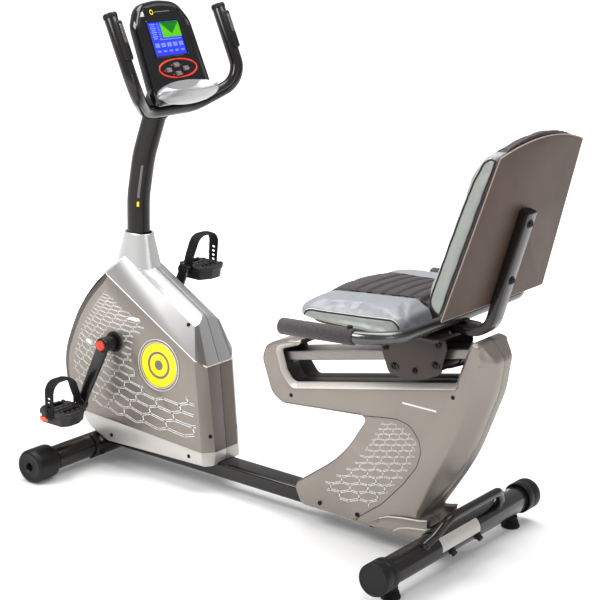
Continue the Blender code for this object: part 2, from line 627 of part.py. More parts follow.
# ---------------------------------------------------------------- post, handlebar and console
def bar_path():
    """The handlebar's centre line, a flat-bottomed U."""
    half = [(-0.8451, 0.189, 1.106, 0), (-0.766, 0.188, 0.940, 0.060), (-0.826, 0.085, 0.881, 0.085)]
    return rounded(mirrored(half), 6, False)


def steering_post():
    path = rounded([(-0.914, 0, 0.5490, 0), (-0.917, 0, 0.66, 0.25), (-0.903, 0, 0.760, 0.30),
                    (-0.872, 0, 0.860, 0)], 4, False)
    tube(path, POST_R, "console_post", BLACK_PAINT, 4)
    tube(bar_path(), BAR_R, "handlebar", BLACK_PAINT, 3)

    for name, side in SIDES.items():
        top, bottom = Vector((-0.8365, side * 0.1889, 1.088)), Vector((-0.7975, side * 0.1885, 1.006))
        along = (top - bottom).normalized()
        lean = Matrix.Rotation(-math.atan2(-along.x, along.z), 4, "Y")
        length = (top - bottom).length
        grip = prism(rounded([(-0.006, -0.0125, 0.003), (0.0225, -0.0085, 0.006), (0.0225, 0.0085, 0.006),
                              (-0.006, 0.0125, 0.003)], 3), 0, length, "Z")
        grip = soften(grip, 0.003, 1, "Z")
        grip = cut(grip, rod((0, 0, -0.02), (0, 0, length + 0.02), BAR_R + 0.0006, segments=32))
        keep = box((0.002, -0.05, -0.05), (0.05, 0.05, 0.2))
        grip = combine(grip, keep, "INTERSECT")
        part(moved(grip, Matrix.Translation(bottom) @ lean), "pulse_grip_" + name, BLACK_PLASTIC)


KEYS = {"start_key": (0.077, -0.030), "mode_key": (0.077, 0.030), "up_key": (0.087, 0.0),
        "down_key": (0.067, 0.0)}
KEY_HALF = (0.0055, 0.0085)
SCREEN_LOW, SCREEN_HIGH, SCREEN_HALF = 0.112, 0.190, 0.0530


def console():
    outline = rounded([(0.0, -0.090, 0.02), (0.0, 0.090, 0.02), (0.035, 0.104, 0.04), (0.190, 0.097, 0.05),
                       (0.236, 0.066, 0.05), (0.244, 0.0, 0.20), (0.236, -0.066, 0.05),
                       (0.190, -0.097, 0.05), (0.035, -0.104, 0.04)], 4)
    housing = soften(prism(outline, -CONSOLE_DEPTH, 0.0, "Z"), 0.010, 2, "Z")
    housing = cut(housing, box((SCREEN_LOW, -SCREEN_HALF, -0.004), (SCREEN_HIGH, SCREEN_HALF, 0.01)))
    for up, across in KEYS.values():
        housing = cut(housing, box((up - KEY_HALF[0] - 0.0004, across - KEY_HALF[1] - 0.0004, -0.0060),
                                   (up + KEY_HALF[0] + 0.0004, across + KEY_HALF[1] + 0.0004, 0.01)))
    moved(housing, face_matrix())
    neck = rod((-0.8715, 0, 0.862), (-0.8400, 0, 0.955), 0.0300, 0.0340)
    groove = as_mesh(sweep(bar_path(), BAR_R + 0.0008))
    post_top = rod((-0.8755, 0, 0.8490), (-0.8719, 0, 0.8606), 0.05)
    part(cut(join(housing, neck), groove, post_top), "console_housing", CONSOLE_GREY)

    edge = SCREEN_HALF - 0.0004
    lens = box((SCREEN_LOW + 0.0004, -edge, -0.004 + GAP), (SCREEN_HIGH - 0.0004, edge, -0.0005))
    part(moved(lens, face_matrix()), "lcd_lens", SCREEN)
    for name, (up, across) in KEYS.items():
        key = box((up - KEY_HALF[0], across - KEY_HALF[1], -0.0042),
                  (up + KEY_HALF[0], across + KEY_HALF[1], 0.0012))
        part(moved(soften(key, 0.0006, 1, "Z"), face_matrix()), name, KEY_GREY)

    bm = bmesh.new()
    bmesh.ops.create_uvsphere(bm, u_segments=24, v_segments=12, radius=1.0)
    bmesh.ops.scale(bm, vec=(0.040, 0.104, 0.052), verts=bm.verts)
    tray = mesh_object(bm)
    bm = bmesh.new()
    bmesh.ops.create_uvsphere(bm, u_segments=24, v_segments=12, radius=1.0)
    bmesh.ops.scale(bm, vec=(0.033, 0.098, 0.046), verts=bm.verts)
    bmesh.ops.translate(bm, vec=(0.022, 0, 0.004), verts=bm.verts)
    dish = mesh_object(bm)
    tray = cut(tray, dish)
    tray = combine(tray, box((-0.1, -0.2, 0.0005), (0.0, 0.2, 0.1)), "INTERSECT")
    part(moved(tray, face_matrix() @ Matrix.Translation((0.028, 0, 0))), "console_tray", SILVER)


# ---------------------------------------------------------------- rear casing, frame and rail
def side_outline():
    return rounded([(-0.496, 0.368, 0.03), (-0.462, 0.424, 0.03), (-0.385, 0.430, 0.006),
                    (-0.398, 0.409, 0.004), (-0.438, 0.396, 0.006), (-0.420, 0.350, 0.02),
                    (-0.398, 0.328, 0.02), (0.006, 0.4155, 0.012), (0.036, 0.512, 0.012),
                    (0.060, 0.509, 0.018), (0.0905, 0.475, 0.030), (0.083, 0.400, 0.20),
                    (0.020, 0.220, 0.30), (-0.066, 0.093, 0.03), (-0.0355, 0.082, 0.004),
                    (-0.0355, 0.046, 0.004), (-0.372, 0.046, 0.02), (-0.395, 0.090, 0.02),
                    (-0.266, 0.192, 0.16), (-0.200, 0.292, 0.012), (-0.420, 0.272, 0.05),
                    (-0.470, 0.295, 0.03)], 3)


def rear_casing():
    outline = side_outline()
    body = soften(prism(outline, -SIDE_HALF, SIDE_HALF), SIDE_EDGE, 1)
    half = SIDE_HALF - WALL
    shell = cut(body, prism(inset(outline, WALL), -half, half))
    rail_hole = rail_box(0.001, -0.004, RAIL_LENGTH + 0.004)
    shell = cut(shell, rail_hole,
                box((-0.5, -BEAM_HALF - 0.001, 0.0), (0.0, BEAM_HALF + 0.001, BEAM_HIGH + 0.001)))
    for name, side in SIDES.items():
        low, high = (-0.1, -GAP / 2) if side < 0 else (GAP / 2, 0.1)
        piece = combine(copy(shell), box((-0.6, low, 0.0), (0.2, high, 0.6)), "INTERSECT")
        part(piece, "rear_casing_" + name, TAUPE)
    bpy.data.objects.remove(shell, do_unlink=True)

    outline = [Vector(point) for point in (
        (-0.270, BEAM_HIGH + GAP), (-0.170, BEAM_HIGH + GAP), (-0.035, 0.330), (0.055, 0.350),
        (0.067, 0.420), (0.060, 0.4725), (0.026, 0.4650), (0.024, 0.3950), (-0.030, 0.3900),
        (-0.395, 0.3150), (-0.430, 0.3350), (-0.434, 0.3660), (-0.455, 0.3600), (-0.448, 0.3300),
        (-0.410, 0.2980), (-0.232, 0.3050), (-0.196, 0.2900), (-0.232, 0.2150), (-0.270, 0.1600))]
    hollow = prism(inset(outline, STEEL), -FRAME_HALF + STEEL, FRAME_HALF - STEEL)
    vent = rod((-0.220, -0.05, 0.15), (-0.220, 0.0, 0.15), 0.004, segments=8)
    steel = cut(prism(outline, -FRAME_HALF, FRAME_HALF), hollow, vent)
    ends = rail_box(GAP, -0.01, RAIL_LENGTH + 0.01)
    part(cut(steel, ends), "rear_frame", BLACK_PAINT)
    part(rail_box(0.0, 0.0, RAIL_LENGTH), "seat_rail", RAIL_METAL)


def rail_box(grow, start, end):
    corners = [(start, grow), (end, grow), (end, -RAIL_THICK - grow), (start, -RAIL_THICK - grow)]
    points = [rail_frame(along, above).xz for along, above in corners]
    return prism(points, -RAIL_HALF - grow, RAIL_HALF + grow)


# ---------------------------------------------------------------- seat and backrest
ROLLERS = {"carriage_roller_front": 0.317, "carriage_roller_rear": 0.420}
LEVER = (-0.112, 0.0, 0.4700)


def carriage():
    plate = prism(rounded([(-0.196, PLATE_TOP, 0.004), (-0.184, 0.4520, 0.02), (-0.154, 0.404, 0.008),
                           (-0.091, 0.3955, 0.05), (-0.034, 0.4150, 0.012), (-0.028, 0.4500, 0.01),
                           (-0.026, PLATE_TOP, 0.006)], 4), -PLATE_OUT, -PLATE_IN)
    for along in ROLLERS.values():
        spot = rail_frame(along, -RAIL_THICK - CARRIAGE_R - GAP)
        plate = cut(plate, rod((spot.x, -0.1, spot.z), (spot.x, 0.1, spot.z), 0.0036, segments=16))
    part(copy(plate), "carriage_plate_left", PLATE_PAINT)
    part(moved(plate, Matrix.Scale(-1, 4, (0, 1, 0))), "carriage_plate_right", PLATE_PAINT)

    for name, along in ROLLERS.items():
        spot = rail_frame(along, -RAIL_THICK - CARRIAGE_R - GAP)
        body = rod((spot.x, -0.050, spot.z), (spot.x, 0.050, spot.z), CARRIAGE_R)
        pins = rod((spot.x, -PLATE_OUT + 0.0005, spot.z), (spot.x, PLATE_OUT - 0.0005, spot.z), 0.0032,
                   segments=16)
        part(join(body, pins), name, BLACK_PLASTIC, spot)

    tray = box((-0.262, -0.095, PLATE_TOP + GAP), (-0.020, 0.095, 0.5127))
    for side in SIDES.values():
        low, high = sorted((side * 0.070, side * 0.090))
        tray = join(tray, box((-0.255, low, 0.510), (-0.050, high, 0.5230)))
    part(tray, "seat_frame", PLATE_PAINT)
    board = prism(rounded([(-0.300, -0.185, 0.06), (-0.060, -0.185, 0.02), (-0.060, 0.185, 0.02),
                           (-0.300, 0.185, 0.06)], 3), 0.5233, SEAT_Z - GAP, "Z")
    part(board, "seat_board", BOARD)

    x, _, z = LEVER
    hub = rod((x, PLATE_OUT + 0.0004, z), (x, 0.0700, z), 0.0110)
    arm = prism(rounded([(x - 0.005, z - 0.006, 0), (x - 0.120, z - 0.022, 0.008),
                         (x - 0.120, z - 0.010, 0.008), (x + 0.002, z + 0.008, 0)], 3), 0.0640, 0.0690)
    knob = rod((x - 0.112, 0.0600 + 0.0045, z - 0.0157), (x - 0.112, 0.1100, z - 0.0157), 0.0095)
    part(join(hub, arm, knob), "seat_lever", BLACK_PLASTIC, (x, 0.06, z))


def seat():
    cushion = prism(rounded([(-0.300, -0.218, 0.045), (-0.036, -0.212, 0.03), (-0.036, 0.212, 0.03),
                             (-0.300, 0.218, 0.045), (-0.332, 0.0, 0.30)], 4), SEAT_Z, SEAT_TOP, "Z")
    part(soften(cushion, 0.016, 2, "Z"), "seat_cushion", VINYL)

    corners = rounded([(0.0, -0.209, 0.012), (0.0, 0.209, 0.012), (0.346, 0.171, 0.016),
                       (0.372, 0.0, 0.42), (0.346, -0.171, 0.016)], 5)
    board = soften(prism(corners, -BOARD_THICK, 0.0, "Z"), 0.002, 1, "Z")
    part(moved(board, back_matrix()), "back_board", BOARD)
    pad = prism(rounded([(0.004, -0.212, 0.03), (0.004, 0.212, 0.03), (0.348, 0.174, 0.05),
                         (0.382, 0.0, 0.40), (0.348, -0.174, 0.05)], 5),
                -BOARD_THICK - GAP - BACK_THICK, -BOARD_THICK - GAP, "Z")
    part(moved(soften(pad, 0.016, 2, "Z"), back_matrix()), "backrest_cushion", VINYL)
    backrest_bracket()

    half = [(-0.270, GRIP_Y, 0.5354, 0), (-0.017, GRIP_Y, 0.5535, 0.075), (-0.017, 0.10, 0.5508, 0)]
    path = rounded(mirrored(half), 7, False)
    tube(path, TUBE_R, "seat_handle", TUBE_PAINT, 3)
    grip_start, grip_end = Vector((-0.2735, 0, 0.53515)), Vector((-0.092, 0, 0.54814))
    for name, side in SIDES.items():
        shift = Vector((0, side * GRIP_Y, 0))
        grip = rod(grip_start + shift, grip_end + shift, GRIP_R, segments=28)
        along = (grip_end - grip_start).normalized()
        hole = rod(Vector((-0.270, 0, 0.5354)) + shift - along * 0.0003, grip_end + shift + along * 0.01,
                   TUBE_R + 0.0005, segments=28)
        part(cut(grip, hole), "seat_grip_" + name, FOAM)


def backrest_bracket():
    """One bent box tube from the seat frame up the back board."""
    sine, cosine = math.sin(BACK_TILT), math.cos(BACK_TILT)

    def on_back(up, out):
        return BACK_X + up * sine + out * cosine, BACK_Z + up * cosine - out * sine

    low = 0.5130
    deep = BRACKET_DEPTH
    front_top, rear_top = on_back(0.213, 0.0006), on_back(0.213, deep)
    inner_x, inner_z = on_back(-0.052, 0.0006)
    outer_x, outer_z = on_back(-0.0745, deep)
    outline = rounded([(*front_top, 0), (*rear_top, 0), (outer_x, low, 0.058), (-0.042, low, 0),
                       (-0.042, low + deep, 0), (inner_x, low + deep, 0.034)], 6)
    bracket = prism(outline, -BRACKET_HALF, BRACKET_HALF)
    part(bracket, "backrest_bracket", PLATE_PAINT)


ground_frame()
main_casing()
drive()
steering_post()
console()
rear_casing()
carriage()
seat()
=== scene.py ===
"""Looks of the recumbent exercise bike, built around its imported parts.

Metres, +Z up, -Y the rider's left. Shapes are drawn in the bike's own frame, whose X = 0 is the rear
stabiliser's axis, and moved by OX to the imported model's frame when each piece is placed.
"""

import math

import bmesh
import bpy
import numpy as np
from mathutils import Matrix, Vector, noise
from mathutils.bvhtree import BVHTree


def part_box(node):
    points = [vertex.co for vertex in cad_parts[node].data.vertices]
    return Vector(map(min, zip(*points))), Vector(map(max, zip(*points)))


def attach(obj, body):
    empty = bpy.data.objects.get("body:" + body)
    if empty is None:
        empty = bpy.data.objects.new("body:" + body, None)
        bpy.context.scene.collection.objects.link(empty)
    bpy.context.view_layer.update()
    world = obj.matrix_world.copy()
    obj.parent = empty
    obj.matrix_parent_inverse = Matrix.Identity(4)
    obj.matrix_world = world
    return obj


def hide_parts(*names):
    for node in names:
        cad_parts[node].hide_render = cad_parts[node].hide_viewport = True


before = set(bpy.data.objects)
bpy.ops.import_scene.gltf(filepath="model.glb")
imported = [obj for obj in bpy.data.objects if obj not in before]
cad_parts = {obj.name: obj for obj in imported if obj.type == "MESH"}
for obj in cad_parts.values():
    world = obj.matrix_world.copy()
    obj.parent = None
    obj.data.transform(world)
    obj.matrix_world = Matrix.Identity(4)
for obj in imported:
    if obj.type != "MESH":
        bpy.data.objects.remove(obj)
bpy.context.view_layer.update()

OX = sum(corner.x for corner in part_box("rear_stabiliser")) / 2
PLACE = Matrix.Translation((OX, 0, 0))
SIDES = {"left": -1, "right": 1}
MIRROR = Matrix.Scale(-1, 4, (0, 1, 0))
scene = bpy.context.scene


# ---------------------------------------------------------------- camera, floor and light
TURN, PITCH, ROLL = (math.radians(angle) for angle in (35.3987, 15.2742, 2.4052))
EYE = (1.7288, -3.0473, 1.521)
SENSOR, LENS_LENGTH = 36.0, 104.129


def camera():
    ahead = Vector((-math.sin(TURN) * math.cos(PITCH), math.cos(TURN) * math.cos(PITCH), -math.sin(PITCH)))
    right = Vector((math.cos(TURN), math.sin(TURN), 0))
    up = right.cross(ahead)
    across = right * math.cos(ROLL) + up * math.sin(ROLL)
    upright = up * math.cos(ROLL) - right * math.sin(ROLL)
    data = bpy.data.cameras.new("camera")
    data.sensor_width, data.lens = SENSOR, LENS_LENGTH
    data.clip_end = 200
    eye = bpy.data.objects.new("camera", data)
    scene.collection.objects.link(eye)
    eye.matrix_world = Matrix.Translation((OX + EYE[0], EYE[1], EYE[2])) \
        @ Matrix((across, upright, -ahead)).transposed().to_4x4()
    scene.camera = eye


def softbox(name, place, target, size, power, colour=(1, 1, 1)):
    data = bpy.data.lights.new(name, "AREA")
    data.shape = "RECTANGLE"
    data.size, data.size_y = size
    data.energy = power
    data.color = colour
    lamp = bpy.data.objects.new(name, data)
    scene.collection.objects.link(lamp)
    place, target = Vector(place) + Vector((OX, 0, 0)), Vector(target) + Vector((OX, 0, 0))
    lamp.location = place
    lamp.rotation_euler = (target - place).to_track_quat("-Z", "Y").to_euler()


# ---------------------------------------------------------------- materials
def linear(*values):
    """Display values from 0 to 255 as linear colour."""
    return [(v / 255 / 12.92 if v <= 10 else ((v / 255 + 0.055) / 1.055) ** 2.4) for v in values]


class Nodes:
    """A small wrapper that adds and links shader nodes."""

    def __init__(self, name):
        self.made = bpy.data.materials.new(name)
        self.made.use_nodes = True
        self.tree = self.made.node_tree
        self.shader = self.tree.nodes["Principled BSDF"]
        self.place = self.add("ShaderNodeTexCoord").outputs["Object"]

    def add(self, kind, links=None, **settings):
        node = self.tree.nodes.new(kind)
        for key, value in settings.items():
            if key in node.inputs:
                node.inputs[key].default_value = value
            else:
                setattr(node, key, value)
        for key, value in (links or {}).items():
            self.tree.links.new(value, node.inputs[key])
        return node

    def noise(self, scale, detail=2.0, rough=0.5, source=None):
        node = self.add("ShaderNodeTexNoise", {"Vector": source or self.place})
        node.inputs["Scale"].default_value = scale
        node.inputs["Detail"].default_value = detail
        node.inputs["Roughness"].default_value = rough
        return node.outputs["Fac"]

    def cells(self, scale, feature="F1", source=None):
        node = self.add("ShaderNodeTexVoronoi", {"Vector": source or self.place}, feature=feature)
        node.inputs["Scale"].default_value = scale
        return node.outputs["Distance"]

    def range(self, value, low, high, start=0.0, end=1.0):
        node = self.add("ShaderNodeMapRange", {"Value": value})
        for key, number in (("From Min", start), ("From Max", end), ("To Min", low), ("To Max", high)):
            node.inputs[key].default_value = number
        return node.outputs["Result"]

    def maths(self, operation, one, two):
        node = self.add("ShaderNodeMath", operation=operation)
        for socket, value in zip(node.inputs, (one, two)):
            if isinstance(value, (int, float)):
                socket.default_value = value
            else:
                self.tree.links.new(value, socket)
        return node.outputs[0]

    def blend(self, factor, one, two, kind="MIX"):
        node = self.add("ShaderNodeMix", data_type="RGBA", blend_type=kind)
        self.tree.links.new(factor, node.inputs[0])
        for socket, value in ((node.inputs[6], one), (node.inputs[7], two)):
            if isinstance(value, (tuple, list)):
                socket.default_value = (*value[:3], 1.0)
            else:
                self.tree.links.new(value, socket)
        return node.outputs[2]

    def bump(self, height, strength, distance, before=None):
        node = self.add("ShaderNodeBump", {"Height": height})
        node.inputs["Strength"].default_value = strength
        node.inputs["Distance"].default_value = distance
        if before is not None:
            self.tree.links.new(before, node.inputs["Normal"])
        return node.outputs["Normal"]

    def mottled(self, colour, factor, darker, lighter):
        """The colour, darker and lighter by these shares where the factor is low and high."""
        return self.blend(self.range(factor, 0.0, 1.0, 0.3, 0.7), [part * (1 - darker) for part in colour],
                          [min(1.0, part * (1 + lighter)) for part in colour])

    def put(self, **values):
        for key, value in values.items():
            socket = self.shader.inputs[key.replace("_", " ")]
            if isinstance(value, bpy.types.NodeSocket):
                self.tree.links.new(value, socket)
            elif isinstance(value, (tuple, list)):
                socket.default_value = (*value, 1.0)
            else:
                socket.default_value = value
        return self


def plastic(name, colour, rough, metal=0.0, coat=0.0, grain=0.1, size=1400.0, vary=0.06, worn=0.0,
            flake=0.0, coat_rough=0.12, specular=0.5):
    """Moulded or painted surface: fine texture, slow colour change, rubbed edges and fingered gloss."""
    m = Nodes(name)
    tone = m.mottled(colour, m.noise(7.0, 4.0), vary, vary)
    if flake:
        spark = m.range(m.cells(3200.0), 1.0 - flake, 1.0 + flake, 0.0, 0.7)
        tone = m.add("ShaderNodeHueSaturation", {"Color": tone, "Value": spark}).outputs["Color"]
    if worn:
        edge = m.add("ShaderNodeNewGeometry").outputs["Pointiness"]
        rubbed = m.maths("MULTIPLY", m.range(edge, 0, worn, 0.515, 0.6),
                         m.range(m.noise(60.0, 3.0), 0.2, 1.2, 0.3, 0.7))
        tone = m.blend(rubbed, tone, [min(1.0, part * 1.6 + 0.05) for part in colour])
    gloss = m.range(m.noise(11.0, 2.0), max(0.02, rough - 0.03), rough + 0.04, 0.25, 0.75)
    m.put(Base_Color=tone, Roughness=gloss, Metallic=metal, Coat_Weight=coat, Coat_Roughness=coat_rough,
          Normal=m.bump(m.noise(size, 3.0, 0.6), grain, 0.0003), Specular_IOR_Level=specular)
    return m.made


def vinyl(name, colour, rough, vary=0.08, sheen=0.1, crease=0.18):
    """Upholstery vinyl: pebbled grain with faint long creases."""
    m = Nodes(name)
    tone = m.mottled(colour, m.noise(16.0, 5.0, 0.6), vary, vary)
    creases = m.bump(m.noise(85.0, 6.0, 0.62), crease, 0.0016)
    height = m.bump(m.cells(900.0, "SMOOTH_F1"), 0.22, 0.0004, creases)
    gloss = m.range(m.noise(40.0, 4.0), rough - 0.07, rough + 0.08, 0.3, 0.7)
    m.put(Base_Color=tone, Roughness=gloss, Normal=height, Sheen_Weight=sheen, Sheen_Roughness=0.4)
    return m.made


def foam(name, colour):
    """Closed-cell grip foam: open pores over a soft mottled skin."""
    m = Nodes(name)
    tone = m.mottled(colour, m.noise(220.0, 4.0, 0.7), 0.25, 0.25)
    height = m.bump(m.cells(1600.0), 0.5, 0.0005, m.bump(m.noise(160.0, 3.0), 0.25, 0.001))
    m.put(Base_Color=tone, Roughness=0.78, Normal=height, Sheen_Weight=0.25, Sheen_Roughness=0.5)
    return m.made


def brushed(name, colour, rough, metal):
    """Metal with fine lines drawn along X."""
    m = Nodes(name)
    mapped = m.add("ShaderNodeMapping", {"Vector": m.place})
    mapped.inputs["Scale"].default_value = (4.0, 900.0, 900.0)
    lines = m.noise(1.0, 4.0, 0.6, mapped.outputs["Vector"])
    gloss = m.range(m.noise(30.0, 4.0), rough - 0.05, rough + 0.08, 0.3, 0.7)
    m.put(Base_Color=m.mottled(colour, lines, 0.12, 0.1), Roughness=gloss, Metallic=metal,
          Normal=m.bump(lines, 0.12, 0.0002))
    return m.made


def glowing(name, colour, strength=0.25, vary=0.12, rough=0.25):
    """A lit segment or ink on the display."""
    m = Nodes(name)
    tone = m.mottled(colour, m.noise(180.0, 3.0), vary, vary)
    m.put(Base_Color=tone, Roughness=rough, Emission_Color=tone, Emission_Strength=strength,
          Normal=m.bump(m.noise(2200.0), 0.04, 0.0001))
    return m.made


TAUPE = plastic("taupe_metallic", linear(150, 143, 137), 0.36, 0.6, grain=0.06, vary=0.03, flake=0.1,
                worn=0.1)
TAUPE_DARK = plastic("taupe_shaded", linear(118, 109, 104), 0.4, 0.35, grain=0.06, vary=0.05, flake=0.08)
# Lighter copy of the taupe: painted highlight on the slot's chamfers and the casing foot's ridges.
TAUPE_HIGHLIGHT = plastic("taupe_painted_highlight", linear(198, 194, 189), 0.34, 0.25, grain=0.06, vary=0.03, flake=0.08)
# Darkest copy of the taupe: painted shade inside the slot under the rail.
TAUPE_SLOT_SHADE = plastic("taupe_inside_painted_shade", linear(64, 58, 55), 0.42, 0.45, grain=0.06, vary=0.05, flake=0.08)
SILVER = plastic("silver_metallic", linear(178, 178, 179), 0.32, 0.55, grain=0.05, vary=0.02, flake=0.1)
SILVER_SHADE = plastic("silver_shaded", linear(140, 138, 137), 0.3, 0.55, grain=0.05, vary=0.02, flake=0.1)
PEDAL = plastic("pedal_grey", linear(62, 60, 63), 0.4, 0.0, grain=0.16, size=1100.0, vary=0.08)
BOOT = plastic("silver_boot", linear(206, 206, 205), 0.34, 0.6, grain=0.05, vary=0.02, flake=0.06)
SKIRT = plastic("silver_skirt", linear(196, 193, 190), 0.36, 0.45, grain=0.05, vary=0.02, flake=0.08)
# Darker copy of the silver: painted shade on the top cover's flanks.
SILVER_FLANK_SHADE = plastic("silver_flank_painted_shade", linear(158, 157, 156), 0.4, 0.45, grain=0.05, vary=0.02, flake=0.08)
POST = plastic("post_paint", linear(30, 26, 24), 0.32, 0.0, coat=0.15, grain=0.08, size=700.0, vary=0.1,
               worn=0.05)
# Darker copy of the taupe: painted shade on the main casing's rounded front rim.
EDGE_SHADE = plastic("casing_edge_painted_shade", linear(100, 94, 90), 0.42, 0.3, grain=0.08)
BLACK = plastic("black_paint", linear(34, 30, 29), 0.24, 0.0, coat=0.45, grain=0.05, size=700.0, vary=0.1,
                worn=0.03, coat_rough=0.1)
SATIN = plastic("black_satin", linear(29, 27, 27), 0.42, 0.0, grain=0.16, size=1100.0, vary=0.1, worn=0.05)
RUBBER = plastic("black_rubber", linear(30, 28, 28), 0.62, 0.0, grain=0.3, size=800.0, vary=0.15, worn=0.05,
                 specular=0.4)
# Near-black: painted shade in screw wells and along the sunk leaf panel's edge.
HOLE_SHADE = plastic("recess_painted_shade", linear(12, 11, 11), 0.6, 0.0, grain=0.1)
PLATE = plastic("plate_paint", linear(82, 75, 72), 0.38, 0.4, grain=0.1, size=900.0, vary=0.05, flake=0.08)
STEEL = brushed("bare_steel", linear(150, 148, 145), 0.3, 0.9)
RAIL = brushed("rail_aluminium", linear(146, 142, 140), 0.32, 0.75)
TUBE = plastic("tube_silver", linear(104, 104, 104), 0.26, 0.85, coat=0.25, grain=0.05, vary=0.04)
CHARCOAL = plastic("console_charcoal", linear(24, 24, 30), 0.26, 0.1, coat=0.3, grain=0.08, vary=0.06)
RIM = plastic("console_rim", linear(24, 24, 28), 0.14, 0.1, coat=0.8, grain=0.03, vary=0.06,
              coat_rough=0.05)
LENS = glowing("display_blue", linear(52, 66, 232), 0.25, 0.1, 0.12)
LIT = glowing("display_green", linear(92, 172, 30), 0.3)
SHADE = glowing("display_green_deep", linear(12, 116, 30), 0.2)
CELL = glowing("display_cells", linear(116, 132, 240), 0.3)
MARK = plastic("print_white", linear(236, 236, 234), 0.4, 0.0, grain=0.12, vary=0.03)
RED = plastic("accent_red", linear(232, 62, 34), 0.32, 0.0, coat=0.4, grain=0.05, vary=0.05)
YELLOW = plastic("emblem_yellow", linear(248, 226, 18), 0.34, 0.0, coat=0.3, grain=0.05, vary=0.02)
GREY = plastic("emblem_grey", linear(128, 122, 118), 0.38, 0.2, grain=0.06, vary=0.04)
KEY = plastic("key_rubber", linear(126, 126, 130), 0.5, 0.0, grain=0.2)
VINYL = vinyl("silver_vinyl", linear(150, 153, 149), 0.33, 0.05)
VINYL_TOP = vinyl("pale_vinyl", linear(146, 148, 152), 0.34, 0.05)
VINYL_DARK = vinyl("charcoal_vinyl", linear(64, 57, 60), 0.42, 0.08, 0.2, 0.28)
PIPING = vinyl("dark_piping", linear(52, 47, 46), 0.45, 0.08)
WELT = vinyl("light_welt", linear(205, 207, 205), 0.4, 0.05)
BOARD = plastic("moulded_board", linear(88, 71, 62), 0.46, 0.15, grain=0.3, size=500.0, vary=0.05)
BOARD_EDGE = plastic("board_edging", linear(158, 146, 138), 0.45, 0.0, grain=0.15, vary=0.05)
FOAM = foam("grip_foam", linear(76, 72, 74))
PAPER = plastic("blank_label", linear(206, 203, 198), 0.42, 0.0, grain=0.1, vary=0.03)
AMBER = plastic("reflector_amber", linear(225, 92, 30), 0.16, 0.0, coat=0.7, grain=0.2, size=300.0,
                vary=0.1)


# ---------------------------------------------------------------- modelling helpers
def mesh_object(bm, name="work"):
    mesh = bpy.data.meshes.new(name)
    bmesh.ops.recalc_face_normals(bm, faces=bm.faces)
    bm.to_mesh(mesh)
    bm.free()
    made = bpy.data.objects.new(name, mesh)
    scene.collection.objects.link(made)
    return made


def finish(made, name, paint, body, nodes=(), smooth=38.0, bevel=0.0, pick=None):
    """Names and places a piece, gives its faces their materials, and fixes it to its body."""
    if bevel:
        change = made.modifiers.new("Bevel", "BEVEL")
        change.width, change.segments = bevel, 2
        change.limit_method, change.angle_limit = "ANGLE", math.radians(30)
        apply(made)
    made.name = made.data.name = name
    paints = paint if isinstance(paint, (list, tuple)) else [paint]
    if len(made.data.materials) < len(paints):
        made.data.materials.clear()
        for one in paints:
            made.data.materials.append(one)
    if pick:
        for face in made.data.polygons:
            face.material_index = pick(face.center, face.normal)
    made.data.transform(PLACE)
    made.data.shade_smooth()
    if smooth:
        made.data.set_sharp_from_angle(angle=math.radians(smooth))
    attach(made, body)
    if nodes:
        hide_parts(*([nodes] if isinstance(nodes, str) else nodes))
    return made


def apply(made):
    """The evaluated mesh in place of the modifiers."""
    bpy.context.view_layer.update()
    graph = bpy.context.evaluated_depsgraph_get()
    mesh = bpy.data.meshes.new_from_object(made.evaluated_get(graph))
    made.modifiers.clear()
    made.data = mesh
    return made


def rounded(corners, steps=8, closed=True):
    """Corners are (coordinates..., radius); each one becomes an arc of that radius."""
    points = [Vector(corner[:-1]) for corner in corners]
    radii = [corner[-1] for corner in corners]
    made = []
    for index, corner in enumerate(points):
        is_end = not closed and index in (0, len(points) - 1)
        if is_end or radii[index] <= 0:
            made.append(corner)
            continue
        before = points[index - 1] - corner
        after = points[(index + 1) % len(points)] - corner
        angle = before.angle(after)
        if angle > math.radians(178):
            made.append(corner)
            continue
        reach = min(radii[index] / math.tan(angle / 2), 0.49 * before.length, 0.49 * after.length)
        radius = reach * math.tan(angle / 2)
        middle = (before.normalized() + after.normalized()).normalized()
        centre = corner + middle * radius / math.sin(angle / 2)
        start = corner + before.normalized() * reach - centre
        end = corner + after.normalized() * reach - centre
        sweep = start.angle(end)
        for step in range(steps + 1):
            part = step / steps
            made.append(centre + start * (math.sin((1 - part) * sweep) / math.sin(sweep))
                        + end * (math.sin(part * sweep) / math.sin(sweep)))
    return made


def inset(points, distances):
    """The outline moved inwards, by one distance or by one for each point; tight corners close up."""
    count = len(points)
    if isinstance(distances, (int, float)):
        distances = [distances] * count
    area = sum(a.x * b.y - b.x * a.y for a, b in zip(points, points[1:] + points[:1]))
    turn = 1 if area > 0 else -1
    made = []
    for index, point in enumerate(points):
        before = (point - points[index - 1]).normalized()
        after = (points[(index + 1) % count] - point).normalized()
        inward = (Vector((-before.y, before.x)) + Vector((-after.y, after.x))).normalized() * turn
        spread = max(0.5, inward.dot(Vector((-after.y, after.x)) * turn))
        made.append(point + inward * distances[index] / spread)
    for _ in range(40):
        turned = [n for n in range(count)
                  if (made[(n + 1) % count] - made[n]).dot(points[(n + 1) % count] - points[n]) < 0]
        if not turned:
            break
        for n in turned:
            m = (n + 1) % count
            middle = (made[n] + made[m]) / 2
            made[n], made[m] = middle.copy(), middle.copy()
            before, after = made[n - 1], made[(m + 1) % count]
            if (middle - before).dot(points[n] - points[n - 1]) < 0:
                made[n - 1] = middle.copy()
            if (after - middle).dot(points[(m + 1) % count] - points[m]) < 0:
                made[(m + 1) % count] = middle.copy()
    return made


